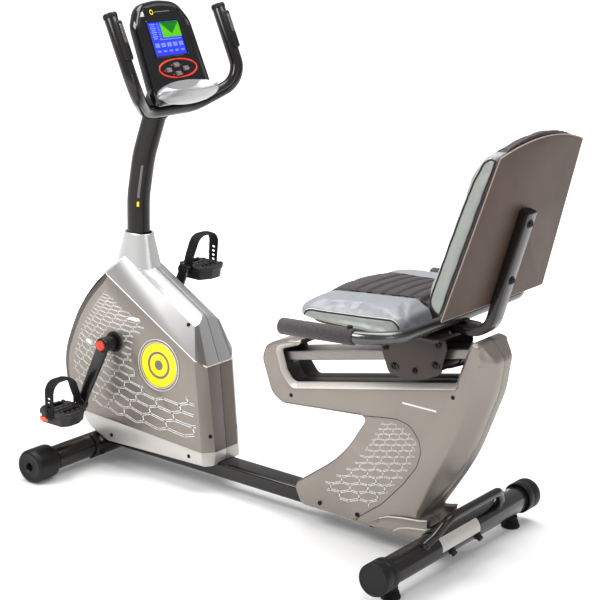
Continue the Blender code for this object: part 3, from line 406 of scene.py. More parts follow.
def spread_points(points, step, closed=True):
    """Adds points so that no side of the outline is longer than step."""
    made = []
    for one, two in zip(points, points[1:] + (points[:1] if closed else [])):
        count = max(1, math.ceil((two - one).length / step))
        made += [one.lerp(two, n / count) for n in range(count)]
    return made if closed else made + [points[-1]]


def rect(left, low, right, high, radius, steps):
    """A rectangle's outline with rounded corners."""
    return rounded([(left, low, radius), (right, low, radius), (right, high, radius), (left, high, radius)],
                   steps)


def loft(rings, caps=True, close=False):
    """Joins rings of equally many 3D points with faces; the end rings become caps."""
    bm = bmesh.new()
    rows = [[bm.verts.new(point) for point in ring] for ring in rings]
    pairs = list(zip(rows, rows[1:])) + ([(rows[-1], rows[0])] if close else [])
    for one, two in pairs:
        for n in range(len(one)):
            m = (n + 1) % len(one)
            bm.faces.new((one[n], one[m], two[m], two[n]))
    if caps and not close:
        bm.faces.new(rows[0][::-1])
        bm.faces.new(rows[-1])
    bmesh.ops.remove_doubles(bm, verts=bm.verts, dist=0.000002)
    return mesh_object(bm)


AXES = {"X": lambda p, d: (d, p[0], p[1]), "Y": lambda p, d: (p[0], d, p[1]),
        "Z": lambda p, d: (p[0], p[1], d)}


def layered(points, layers, axis="Y", close=False):
    """A solid from one outline drawn at several (inset, height) layers; close makes it a ring."""
    return loft([[AXES[axis](p, height) for p in (inset(points, inward) if inward else points)]
                 for inward, height in layers], close=close)


CHAMFER = ((1, 0), (0.84, 0.04), (0.66, 0.15), (0.15, 0.66), (0.04, 0.84), (0, 1))


def slab(points, low, high, width, axis="Y", steps=4, depth=None, ends=(True, True), chamfer=False):
    """A prism with rounded or chamfered rims; width and depth are one number or one for each point."""
    count = len(points)
    widths = [width] * count if isinstance(width, (int, float)) else width
    depths = widths if depth is None else ([depth] * count if isinstance(depth, (int, float)) else depth)
    rings = []
    for face, inner, is_round in ((low, 1, ends[0]), (high, -1, ends[1])):
        rim = [(0, 0)]
        if is_round and chamfer:
            rim = CHAMFER[::-1]
        elif is_round:
            turns = [math.pi / 2 * k / steps for k in range(steps + 1)]
            rim = [(1 - math.cos(turn), 1 - math.sin(turn)) for turn in turns]
        for inward, back in rim[::-inner]:
            outline = inset(points, [w * inward for w in widths]) if inward else points
            drop = [d * back for d in depths]
            rings.append([AXES[axis](p, face + inner * d) for p, d in zip(outline, drop)])
    return loft(rings)


def prism(points, low, high, axis="Y"):
    return loft([[AXES[axis](p, low) for p in points], [AXES[axis](p, high) for p in points]])


def box(low, high):
    return prism([Vector((low[0], low[2])), Vector((high[0], low[2])), Vector((high[0], high[2])),
                  Vector((low[0], high[2]))], low[1], high[1])


def lathe(profile, start, along, segments=40):
    """Turns (height, radius) pairs round an axis; a zero radius closes the solid there."""
    start, along = Vector(start), Vector(along).normalized()
    turn = Vector((0, 0, 1)).rotation_difference(along).to_matrix()
    spokes = [(math.cos(math.tau * n / segments), math.sin(math.tau * n / segments)) for n in range(segments)]
    bm = bmesh.new()
    rows = []
    for height, radius in profile:
        if radius <= 0:
            rows.append([bm.verts.new(start + along * height)])
        else:
            rows.append([bm.verts.new(start + turn @ Vector((radius * c, radius * s, height)))
                         for c, s in spokes])
    open_ends = len(rows[0]) > 1
    pairs = list(zip(rows, rows[1:])) + ([(rows[-1], rows[0])] if open_ends and len(rows[-1]) > 1 else [])
    for one, two in pairs:
        for n in range(segments if len(one) + len(two) > 2 else 0):
            m = (n + 1) % segments
            if len(one) == 1:
                bm.faces.new((one[0], two[m], two[n]))
            elif len(two) == 1:
                bm.faces.new((one[n], one[m], two[0]))
            else:
                bm.faces.new((one[n], one[m], two[m], two[n]))
    return mesh_object(bm)


def rod(start, end, radius, segments=40, edge=0.0):
    """A round bar; edge is the rounding of its ends."""
    start, end = Vector(start), Vector(end)
    length = (end - start).length
    profile = [(0, 0), (0, radius), (length, radius), (length, 0)]
    if edge:
        small, near = edge * 0.3, radius - edge * 0.3
        profile = [(0, 0), (0, radius - edge), (small, near), (edge, radius), (length - edge, radius),
                   (length - small, near), (length, radius - edge), (length, 0)]
    return lathe(profile, start, end - start, segments)


def mirrored(half):
    return [(x, -y, z, radius) for x, y, z, radius in half] + list(reversed(half))


def sweep(path, radius, segments=28, edge=0.0):
    """A tube along points, of one radius or one for each point; edge is the rounding of its ends."""
    path = [Vector(p) for p in path]
    sizes = radius if isinstance(radius, list) else [radius] * len(path)
    turns = [math.tau * k / segments for k in range(segments)]
    rings, normal = [], None
    for n, point in enumerate(path):
        along = (path[min(n + 1, len(path) - 1)] - path[max(n - 1, 0)]).normalized()
        if normal is None:
            normal = Vector((0, 0, 1)) if abs(along.z) < 0.9 else Vector((1, 0, 0))
        normal = (normal - along * normal.dot(along)).normalized()
        side = along.cross(normal)
        rings.append((point, along, [side * math.cos(turn) + normal * math.sin(turn) for turn in turns],
                      sizes[n]))

    def ring(end, shift, shrink):
        point, along, spokes, size = rings[end]
        return [point + along * shift + spoke * (size - shrink) for spoke in spokes]

    rows = [ring(n, 0, 0) for n in range(len(path))]
    if edge:
        rows = [ring(0, -edge, edge), ring(0, -edge * 0.7, edge * 0.3), *rows,
                ring(-1, edge * 0.7, edge * 0.3), ring(-1, edge, edge)]
    return loft(rows)


def combine(body, tool, operation="DIFFERENCE"):
    """Boolean of two solids; the tool is used up."""
    change = body.modifiers.new("Boolean", "BOOLEAN")
    change.object, change.operation, change.solver = tool, operation, "EXACT"
    apply(body)
    bpy.data.objects.remove(tool, do_unlink=True)
    bm = bmesh.new()
    bm.from_mesh(body.data)
    bmesh.ops.remove_doubles(bm, verts=bm.verts, dist=0.00002)
    bmesh.ops.dissolve_degenerate(bm, edges=bm.edges, dist=0.00002)
    bm.to_mesh(body.data)
    bm.free()
    return body


def cut(body, *tools):
    for tool in tools:
        combine(body, tool)
    return body


def sliced(body, point, outward):
    """Cuts away what lies beyond a plane and closes the cut."""
    bm = bmesh.new()
    bm.from_mesh(body.data)
    done = bmesh.ops.bisect_plane(bm, geom=bm.verts[:] + bm.edges[:] + bm.faces[:], dist=0.000005,
                                  plane_co=point, plane_no=outward, clear_outer=True)
    rim = [item for item in done["geom_cut"] if isinstance(item, bmesh.types.BMEdge) and item.is_valid
           and len(item.link_faces) < 2]
    if rim:
        bmesh.ops.contextual_create(bm, geom=rim)
    bmesh.ops.recalc_face_normals(bm, faces=bm.faces)
    bm.to_mesh(body.data)
    bm.free()
    return body


def copy(body):
    made = body.copy()
    made.data = body.data.copy()
    scene.collection.objects.link(made)
    return made


def moved(body, matrix):
    body.data.transform(matrix)
    if matrix.determinant() < 0:
        body.data.flip_normals()
    return body


def joined(name, parts, body, nodes=(), smooth=38.0):
    """One piece from (solid, material) pairs."""
    paints = []
    for solid, paint in parts:
        if paint not in paints:
            paints.append(paint)
    bm = bmesh.new()
    for solid, paint in parts:
        start = len(bm.faces)
        bm.from_mesh(solid.data)
        bm.faces.ensure_lookup_table()
        for face in bm.faces[start:]:
            face.material_index = paints.index(paint)
        bpy.data.objects.remove(solid, do_unlink=True)
    mesh = bpy.data.meshes.new(name)
    bm.to_mesh(mesh)
    bm.free()
    made = bpy.data.objects.new(name, mesh)
    scene.collection.objects.link(made)
    for paint in paints:
        mesh.materials.append(paint)
    return finish(made, name, paints, body, nodes, smooth)


def twins(make):
    """Makes a piece for the rider's left and its mirror image for the right."""
    for name, side in SIDES.items():
        make(name, side)


def flipped(solid, side):
    return moved(solid, MIRROR) if side > 0 else solid


def recess(spot, out, radius=0.0045):
    """A dark screw well with a faint lip and the screw's socket in it; its near-black is painted shade."""
    r = radius
    return lathe([(-0.001, 0), (-0.001, r * 1.04), (0.0003, r * 1.04), (0.0006, r * 0.94),
                  (0.0004, r * 0.8), (0.0003, r * 0.5), (0.0005, r * 0.42), (0.0003, r * 0.34),
                  (0.0003, 0)], spot, out, 28)


def bolt(spot, out, radius, height):
    """A button-head socket bolt on a washer."""
    r, h = radius, height
    profile = [(-0.001, 0), (-0.001, r * 1.35), (0.0009, r * 1.35), (0.0012, r * 1.25), (0.0012, r)]
    profile += [(h * 0.55, r), (h * 0.85, r * 0.86), (h, r * 0.66), (h, r * 0.44), (h * 0.97, r * 0.4),
                (h * 0.45, r * 0.38), (h * 0.42, 0)]
    return lathe(profile, spot, out, 32)


def wall(side, near, far):
    """The lowest and highest y of a layer between two distances from the middle plane."""
    return sorted((side * near, side * far))


def rail_frame(along, above, y=0.0):
    """A point by its place along the rail and its height above the rail's top."""
    cosine, sine = math.cos(RAIL_SLOPE), math.sin(RAIL_SLOPE)
    return Vector((RAIL_X + along * cosine - above * sine, y, RAIL_Z + along * sine + above * cosine))


def face_matrix():
    """Carries (up, across, out) to the console's face."""
    cosine, sine = math.cos(FACE_TILT), math.sin(FACE_TILT)
    return Matrix(((-sine, 0, cosine, FACE_X), (0, 1, 0, 0), (cosine, 0, sine, FACE_Z), (0, 0, 0, 1)))


def back_matrix():
    """Carries (up, across, back) to the rear face of the back board."""
    cosine, sine = math.cos(BACK_TILT), math.sin(BACK_TILT)
    return Matrix(((sine, 0, cosine, BACK_X), (0, 1, 0, 0), (cosine, 0, -sine, BACK_Z), (0, 0, 0, 1)))


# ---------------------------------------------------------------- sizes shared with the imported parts
BEAM_LOW, BEAM_HIGH, BEAM_HALF = 0.035, 0.073, 0.03
FRONT_X, FRONT_Z, FRONT_R, FRONT_HALF = -0.995, 0.04, 0.0285, 0.207
ROLLER_R, ROLLER_LENGTH, ROLLER_BORE = 0.04, 0.078, 0.0095
REAR_Z, REAR_R, REAR_HALF = 0.061, 0.03, 0.316
CAP_R, CAP_IN = 0.0355, 0.272
FOOT_Y = 0.25
CASING_HALF, CASING_WALL, BEAM_ROOM = 0.07, 0.004, 0.0008
EMBLEM = (-0.7843, 0.288)
SEAM_LOW = ((-1.15, 0.129), (-0.6, 0.1))
SEAM_HIGH = ((-1.05, 0.5325), (-0.676, 0.32), (-0.658, 0.303), (-0.55, 0.3))
CRANK_X, CRANK_Z, CRANK_R = -0.926, 0.316, 0.16
CRANK_ANGLE = math.radians(-108.2)
ARM_IN, ARM_OUT, ARM_BEND = 0.1, 0.116, 0.018
PEDAL_Y, PEDAL_LONG, PEDAL_WIDE, PEDAL_LOW = 0.19, 0.096, 0.092, -0.028
BAR_R, POST_R = 0.0155, 0.027
FACE_TILT, FACE_X, FACE_Z = math.radians(24.0), -0.773, 0.905
SIDE_HALF, SIDE_WALL, LEAF_DEPTH = 0.058, 0.003, 0.0022
RAIL_X, RAIL_Z, RAIL_SLOPE = -0.457, 0.385, math.radians(12.43)
RAIL_LENGTH, RAIL_HALF, RAIL_THICK, CARRIAGE_R = 0.512, 0.034, 0.0225, 0.011
PLATE_IN, PLATE_OUT, PLATE_TOP = 0.051, 0.055, 0.505
GRIP_Y, TUBE_R, GRIP_R = 0.292, 0.0135, 0.0172
SEAT_Z = 0.5356
BACK_X, BACK_Z, BACK_TILT = 0.054, 0.589, math.radians(14.4)
BOARD_THICK, BOARD_SHOWN = 0.011, 0.005
GAP = 0.0003


# ---------------------------------------------------------------- printed honeycomb, with solid cells as painted highlights
def honeycomb(base, apex, h, l, v, inside, level, line, gap, clear=(), highlight_cells=(), fade=0.01):
    """Closed ribbons along the sides of a hexagon net that shrinks towards its apex.

    h, l and v are the net's sides at the base: h and l are drawn as two lines a gap apart, v as one bold
    line with a thicker piece near each end. inside is the printed area, clear its round gaps as (x, z,
    radius), level the surface's |y|, and filled holds the places whose nearest cell is drawn solid white
    as a painted highlight.
    """
    base, apex, h, l, v = (Vector(p) for p in (base, apex, h, l, v))
    far = (apex - base).length
    u = (apex - base) / far
    w = Vector((-u.y, u.x))
    bm = bmesh.new()
    centres = []

    def place(q):
        shrink = math.exp(-q.dot(u) / far)
        return base + u * far * (1 - shrink) + w * q.dot(w) * shrink, shrink

    def room(p):
        """How far inside the printed area a point lies; negative outside."""
        near, odd = 1.0, False
        for one, two in zip(inside, inside[1:] + inside[:1]):
            one, two = Vector(one), Vector(two)
            run = two - one
            part = max(0.0, min(1.0, (p - one).dot(run) / run.length_squared))
            near = min(near, (p - one - run * part).length)
            if (one.y > p.y) != (two.y > p.y) and p.x < one.x + (p.y - one.y) / (two.y - one.y) * run.x:
                odd = not odd
        near = near if odd else -near
        for x, z, radius in clear:
            near = min(near, (p - Vector((x, z))).length - radius)
        return near

    def tile(corners):
        top = [bm.verts.new((q.x, -level - 0.00025, q.y)) for q in corners]
        low = [bm.verts.new((q.x, -level + 0.0012, q.y)) for q in corners]
        bm.faces.new(top)
        bm.faces.new(low[::-1])
        for n in range(len(top)):
            m = (n + 1) % len(top)
            bm.faces.new((top[m], top[n], low[n], low[m]))

    def ribbon(one, two, width, offset=0.0):
        strip = []
        for k in range(4):
            q = one.lerp(two, k / 3)
            p, shrink = place(q)
            left = room(p)
            if left <= 0.0004:
                strip.append(None)
                continue
            ahead = (place(q + (two - one) * 0.01)[0] - p).normalized()
            across = Vector((-ahead.y, ahead.x))
            half = width * (0.55 + 0.45 * min(1.0, left / fade)) * (0.35 + 0.65 * shrink) / 2
            strip.append((p + across * offset * shrink, across * half))
        for a, b in zip(strip, strip[1:]):
            if a is not None and b is not None:
                tile([a[0] + a[1], a[0] - a[1], b[0] - b[1], b[0] + b[1]])

    one, two = h + l, v - h
    for i in range(-16, 17):
        for j in range(-30, 31):
            start = one * i + two * j
            if max(abs(start.x), abs(start.y)) > 2.0 or not -0.25 <= start.dot(u) <= 1.6 \
                    or room(place(start)[0]) < -0.09:
                continue
            for shift in (-gap, gap):
                ribbon(start, start + h, line, shift)
                ribbon(start + h, start + one, line, shift)
            ribbon(start, start + v, line * 1.7)
            for spot in (0.1, 0.9):
                ribbon(start + v * (spot - 0.09), start + v * (spot + 0.09), line * 2.6)
            centres.append((place((start + start + one + v) / 2)[0], start))
    # Solid white cells: painted highlights.
    for x, z in highlight_cells:
        _, start = min(centres, key=lambda item: (item[0] - Vector((x, z))).length)
        corners = [start, start + h, start + one, start + one + v, start + l + v, start + v]
        middle = sum(corners, Vector((0, 0))) / 6
        tile([place(middle + (c - middle) * 0.95)[0] for c in corners])
    return mesh_object(bm, "print")


# ---------------------------------------------------------------- main casing
def casing_outline():
    return rounded([(-0.9105, 0.5323, 0.012), (-0.703, 0.412, 0.03), (-0.658, 0.301, 0.05),
                    (-0.63, 0.096, 0.05), (-0.63, 0.069, 0.004), (-0.945, 0.06, 0.01),
                    (-1.0, 0.083, 0.03), (-1.08, 0.145, 0.11), (-1.102, 0.248, 0.2),
                    (-1.041, 0.409, 0.45)], 12)


# The casing's flat facets, each by three of its points: side above the seam, roof, and the rear corner
# below the seam and above it.
FACETS = (((-1.05, 0.07, 0.5325), (-0.676, 0.07, 0.32), (-0.8127, 0.045, 0.459)),
          ((-0.8127, 0.045, 0.459), (-0.9557, 0.045, 0.542), (-0.8127, 0.01, 0.4757)),
          ((-0.675, 0.07, 0.3), (-0.65, 0.07, 0.1), (-0.656, 0.0425, 0.3)),
          ((-0.676, 0.07, 0.32), (-0.701, 0.045, 0.396), (-0.656, 0.0425, 0.3)))


def shoulders(body, shrink):
    """Cuts the body back to its flat facets, or to planes that far inside them."""
    for side in SIDES.values():
        for corners in FACETS:
            start, one, two = (Vector((x, side * y, z)) for x, y, z in corners)
            outward = (one - start).cross(two - start).normalized()
            if outward.dot(start - Vector((-0.85, 0, 0.3))) < 0:
                outward = -outward
            sliced(body, start - outward * shrink, outward)
    return body


def main_casing():
    outline = casing_outline()

    def edge(point):
        """Wide soft rim at the front, crisp at the rear and along the top."""
        ahead = max(0.0, min(1.0, (-0.945 - point.x) / 0.03))
        return 0.0045 + 0.0175 * ahead if point.y > 0.09 else 0.006

    widths = [edge(p) for p in outline]
    body = shoulders(slab(outline, -CASING_HALF, CASING_HALF, widths, steps=5), 0.0)
    inner = CASING_HALF - CASING_WALL
    hollow = shoulders(prism(inset(outline, CASING_WALL), -inner, inner), CASING_WALL)
    seam = cut(prism(inset(outline, -0.01), -0.0007, 0.0007), prism(inset(outline, 0.0022), -0.01, 0.01))
    beam = BEAM_HALF + BEAM_ROOM
    shell = cut(body, hollow, seam, box((-1.2, -beam, 0.0), (-0.5, beam, BEAM_HIGH + BEAM_ROOM)),
                box((-0.95, -0.034, 0.45), (-0.878, 0.034, 0.58)),
                rod((CRANK_X, -0.1, CRANK_Z), (CRANK_X, 0.1, CRANK_Z), 0.0205))
    high, low = [Vector(p) for p in SEAM_HIGH], [Vector(p) for p in SEAM_LOW]
    lift = Vector((0, 0.0005))
    above = [p + lift for p in high] + [Vector((-0.55, 0.7)), Vector((-1.15, 0.7)), Vector((-1.15, 0.5893))]
    cover = combine(copy(shell), prism(above, -0.1, 0.1), "INTERSECT")
    # Painted shade: the cover's rear facet takes the shaded silver and its flanks the darker silver.
    finish(cover, "top_cover_shell", [SILVER, SILVER_SHADE, SILVER_FLANK_SHADE], "base", "top_cover", 30,
           0.0008, lambda centre, normal: 1 if normal.x > 0.6 and abs(normal.y) > 0.2 and centre.x > -0.73
           else 2 if abs(normal.y) > 0.8 else 0)

    below = [low[0] - lift, low[1] - lift, Vector((-0.6, 0.0)), Vector((-1.15, 0.0))]
    skirt = combine(copy(shell), prism(below, -0.1, 0.1), "INTERSECT")
    skirt = cut(skirt, box((-0.955, -0.048, 0.0), (-0.634, 0.048, 0.078)))
    finish(skirt, "skirt_shell", SKIRT, "base", "base_skirt", 30, 0.0008)

    between = low + [p - lift for p in reversed(high)] + [Vector((-1.15, 0.5885))]
    band = combine(shell, prism(between, -0.1, 0.1), "INTERSECT")

    def shade(centre, normal):
        # Painted shade: rear faces take the shaded taupe and the rounded front rim the darker taupe.
        if normal.x > 0.9 and centre.x > -0.7:
            return 1
        return 2 if normal.x < -0.1 and abs(centre.y) > 0.04 and centre.x < -0.94 else 0

    for name, side in SIDES.items():
        span = (-0.1, 0.0) if side < 0 else (0.0, 0.1)
        half = combine(copy(band), prism(between, *span), "INTERSECT")
        if side > 0:
            half = cut(half, rod((-1.02, 0.05, 0.165), (-1.02, 0.09, 0.165), 0.0078))
        finish(half, "casing_half_" + name, [TAUPE, TAUPE_DARK, EDGE_SHADE], "base", "casing_" + name,
               30, 0.0007, shade)
    bpy.data.objects.remove(band, do_unlink=True)

    # Thin pale trim let into the joint below the top cover.
    proud, half = 0.0004, Vector((0, 0.0013))
    trim = slab(outline, -CASING_HALF - proud, CASING_HALF + proud, [w * 0.9 for w in widths], steps=5)
    trim = cut(shoulders(trim, -proud), prism(inset(outline, 0.003), -inner, inner))
    line = [p + half for p in high] + [p - half for p in reversed(high)]
    trim = combine(trim, prism(line, -0.1, 0.1), "INTERSECT")
    finish(trim, "seam_trim", MARK, "base", (), 30)


def casing_marks():
    area = [(-0.957, 0.436), (-0.828, 0.371), (-0.865, 0.33), (-0.871, 0.303), (-0.857, 0.251),
            (-0.821, 0.223), (-0.743, 0.223), (-0.677, 0.233), (-0.661, 0.165), (-0.672, 0.132),
            (-0.771, 0.128), (-0.9, 0.13), (-0.976, 0.138), (-1.013, 0.164), (-1.047, 0.188),
            (-1.058, 0.224), (-1.058, 0.245), (-1.048, 0.292), (-1.025, 0.348), (-0.993, 0.393)]

    def make(name, side):
        # The net is print; its two solid cells are painted highlights on the flank.
        net = honeycomb((-0.7414, 0.1805), (-1.0483, 0.5411), (0.028, 0.009), (0.0495, -0.0048),
                        (0.0075, -0.016), area, CASING_HALF, 0.0018, 0.0022,
                        ((CRANK_X, CRANK_Z, 0.03), (*EMBLEM, 0.07)),
                        ((-0.8608, 0.3742), (-0.9983, 0.2958)))
        finish(flipped(net, side), "casing_print_and_highlight_" + name, MARK, "base", (), 0)

        spot = Vector((EMBLEM[0], side * CASING_HALF, EMBLEM[1]))
        out = (0, side, 0)
        ring = lathe([(-0.001, 0.063), (0.0006, 0.063), (0.0016, 0.0622), (0.002, 0.061), (0.0017, 0.0602),
                      (0.0012, 0.0596), (0.0012, 0.056), (0.0018, 0.0552), (0.0017, 0.0544),
                      (0.001, 0.0536), (-0.001, 0.0536)], spot, out, 96)
        disc = lathe([(-0.001, 0), (-0.001, 0.053), (0.0008, 0.0528), (0.0012, 0.0515), (0.0012, 0)], spot,
                     out, 96)
        inner = lathe([(0.0008, 0.033), (0.0015, 0.033), (0.0015, 0.027), (0.0008, 0.027)], spot, out, 72)
        core = lathe([(0.0008, 0), (0.0008, 0.012), (0.0015, 0.012), (0.0015, 0)], spot, out, 48)
        bands = [(lathe([(0.001, at - 0.0007), (0.0024, at - 0.0005), (0.0024, at + 0.0005),
                         (0.001, at + 0.0007)], spot, out, 96), MARK) for at in (0.0618, 0.0552)]
        joined("casing_badge_" + name, [(ring, TAUPE), (disc, YELLOW), (inner, GREY), (core, GREY)] + bands,
               "base")

        wells = [recess((-0.641, side * 0.0497, 0.14), (0.82, side * 0.57, 0.1)),
                 recess((-0.93, side * CASING_HALF, 0.079), out),
                 recess((-0.688, side * CASING_HALF, 0.085), out),
                 recess((-0.716, side * 0.0483, 0.396), (0.21, side * 0.905, 0.37))]
        joined("casing_screws_" + name, [(w, HOLE_SHADE) for w in wells], "base")

        hub = lathe([(-0.004, 0.014), (0.001, 0.014), (0.003, 0.017), (0.0032, 0.0222), (0.002, 0.0246),
                     (-0.004, 0.025)], (CRANK_X, side * CASING_HALF, CRANK_Z), out, 64)
        finish(hub, "crank_collar_" + name, SATIN, "base")

    twins(make)


def boot():
    """Tapered sleeve with a rounded brim where the post enters the casing."""
    sections = ((0.464, 0.066, 0.048), (0.464, 0.0689, 0.05), (0.495, 0.0604, 0.0462),
                (0.53, 0.0508, 0.0392), (0.56, 0.0425, 0.0332), (0.574, 0.0388, 0.0306),
                (0.577, 0.0378, 0.03), (0.5778, 0.036, 0.029), (0.577, 0.032, 0.0286),
                (0.57, 0.03, 0.0282))
    turns = [math.tau * n / 72 for n in range(72)]
    sleeve = loft([[(-0.913 + long * math.cos(turn), wide * math.sin(turn), height) for turn in turns]
                   for height, long, wide in sections], caps=False, close=True)
    finish(sleeve, "boot_sleeve", BOOT, "base", "post_boot", 60)


# ---------------------------------------------------------------- ground frame
def ground_frame():
    beam = slab(rect(-BEAM_HALF, BEAM_LOW, BEAM_HALF, BEAM_HIGH, 0.008, 8), FRONT_X + 0.0348,
                -REAR_R - 0.0048, 0.0015, "X", 2)
    finish(beam, "beam_tube", BLACK, "base", "main_beam")

    bar = rod((FRONT_X, -FRONT_HALF, FRONT_Z), (FRONT_X, FRONT_HALF, FRONT_Z), FRONT_R, segments=56,
              edge=0.002)
    reach = FRONT_HALF + ROLLER_LENGTH - 0.012
    axle = rod((FRONT_X, -reach, FRONT_Z), (FRONT_X, reach, FRONT_Z), ROLLER_BORE - 0.0012, segments=32,
               edge=0.001)
    joined("front_tube", [(bar, BLACK), (axle, STEEL)], "base", "front_stabiliser")
    bar = rod((0, -REAR_HALF, REAR_Z), (0, REAR_HALF, REAR_Z), REAR_R, segments=64, edge=0.002)
    finish(bar, "rear_tube", BLACK, "base", "rear_stabiliser")
    saddle("front_bracket", "front_saddle", FRONT_X, FRONT_Z, FRONT_R, 0.085, 1)
    saddle("rear_bracket", "rear_saddle", 0.0, REAR_Z, REAR_R, 0.09, -1)
    twins(ground_ends)

    half = [(0.014, 0.15, REAR_Z + 0.024, 0), (0.031, 0.136, 0.108, 0.03), (0.042, 0.106, 0.14, 0.036)]
    finish(sweep(rounded(mirrored(half), 10, False), 0.01, 24), "lifting_bar", BLACK, "base",
           "lifting_handle", 60)
    welds = []
    for side in SIDES.values():
        welds.append(lathe([(-0.004, 0), (-0.004, 0.013), (0.001, 0.0138), (0.004, 0.0118), (0.0045, 0)],
                           (0.0135, side * 0.15, REAR_Z + 0.0262), (0.35, -side * 0.3, 1.0), 32))
    joined("lifting_bar_feet", [(w, BLACK) for w in welds], "base")

    # Blank label wrapped round the rear tube, and the bolts beside it.
    ends = (-0.1, -0.095, -0.074, -0.069, 0.052, 0.056)
    rings = []
    for k in range(15):
        turn = math.radians(-6 + 62 * k / 14)
        rings.append([Vector((size * math.cos(turn), y, REAR_Z + size * math.sin(turn)))
                      for size, row in ((REAR_R + 0.00025, ends), (REAR_R - 0.001, ends[::-1])) for y in row])
    finish(loft(rings), "blank_label", PAPER, "base", (), 30)

    bolts = []
    for side in SIDES.values():
        for x, z, out in ((REAR_R * 0.86, REAR_Z - REAR_R * 0.5, (0.86, 0, -0.5)),
                          (FRONT_X - FRONT_R * 0.98, FRONT_Z, (-1, 0, 0.2))):
            spot = Vector((x, side * 0.054, z))
            bolts.append((bolt(spot, out, 0.0072, 0.0075), SATIN))
            bolts.append((lathe([(0, 0), (0, 0.0075), (0.0085, 0.0075), (0.0095, 0.0066), (0.0095, 0)],
                                spot + Vector(out).normalized() * 0.0012, out, 6), SATIN))
    joined("tube_bolts", bolts, "base", (), 30)


def saddle(name, node, x, z, radius, half, facing):
    """Curved steel plate that clasps the stabiliser, with rolled edges and two bolts."""
    turns = [math.radians(-76 + 152 * k / 24) for k in range(25)]
    points = [Vector((size * math.cos(turn), size * math.sin(turn)))
              for size, arc in ((radius + 0.0045, turns), (radius + 0.0006, turns[::-1])) for turn in arc]
    plate = slab(points, -half, half, 0.0008, steps=2)
    if facing < 0:
        moved(plate, Matrix.Scale(-1, 4, (1, 0, 0)))
    moved(plate, Matrix.Translation((x, 0, z)))
    parts = [(plate, BLACK)]
    for side in SIDES.values():
        for lean in (0.62, -0.45):
            out = Vector((facing * math.cos(lean), 0, math.sin(lean)))
            spot = Vector((x, side * (half - 0.022), z)) + out * (radius + 0.0045)
            parts.append((bolt(spot, out, 0.0062, 0.005), STEEL if lean > 0 else SATIN))
    joined(name, parts, "base", node)


def ground_ends(name, side):
    out = (0, side, 0)
    bore = REAR_R + 0.0004
    cap = lathe([(0, CAP_R - 0.0022), (0.0012, CAP_R - 0.0006), (0.0035, CAP_R), (0.02, CAP_R),
                 (0.0212, CAP_R - 0.0006), (0.0224, CAP_R), (0.0455, CAP_R), (0.0472, CAP_R - 0.0005),
                 (0.048, CAP_R - 0.0016), (0.048, CAP_R - 0.004), (0.0472, CAP_R - 0.0048), (0.0472, 0),
                 (0.0445, 0), (0.0445, bore), (0.0008, bore)], (0, side * CAP_IN, REAR_Z), out, 64)
    finish(cap, "rear_end_cap_" + name, SATIN, "base", "rear_cap_" + name)

    y, top = side * FOOT_Y, REAR_Z - REAR_R - 0.003
    ribs = [(0, 0), (0, 0.0195), (0.0012, 0.0212), (0.004, 0.0215), (0.0062, 0.0205), (0.0078, 0.0178),
            (0.0092, 0.0176), (0.01, 0.0186), (0.0112, 0.0186), (0.0124, 0.0166), (0.0138, 0.0165),
            (0.0146, 0.0172), (0.0158, 0.0171), (0.017, 0.0152), (top - 0.003, 0.0146),
            (top - 0.0006, 0.0136),
            (top, 0.012), (top, 0)]
    finish(lathe(ribs, (0, y, 0), (0, 0, 1), 56), "foot_pad_" + name, RUBBER, "foot_" + name[0],
           "levelling_foot_" + name)

    start = side * (FRONT_HALF + 0.0005)
    length = ROLLER_LENGTH - 0.0005
    r, bore = ROLLER_R, ROLLER_BORE
    tread = [(0.0, bore), (0.0, 0.027), (0.0012, 0.0285), (0.0085, 0.029), (0.01, 0.03), (0.0112, 0.035),
             (0.013, 0.0382), (0.0165, 0.0396), (0.02, r), (length - 0.012, r), (length - 0.006, 0.0392),
             (length - 0.0022, 0.037), (length - 0.0004, 0.0335), (length, 0.03), (length - 0.001, 0.0285),
             (length - 0.001, 0.017), (length - 0.0002, 0.016), (length - 0.0002, 0.0128),
             (length - 0.002, 0.0112), (length - 0.002, bore)]
    finish(lathe(tread, (FRONT_X, start, FRONT_Z), out, 64), "roller_" + name, SATIN,
           "roller_" + name[0], "transport_roller_" + name)


# ---------------------------------------------------------------- cranks and pedals
def pedal_centre(side):
    turn = CRANK_ANGLE if side < 0 else CRANK_ANGLE + math.pi
    return CRANK_X + CRANK_R * math.cos(turn), CRANK_Z + CRANK_R * math.sin(turn)


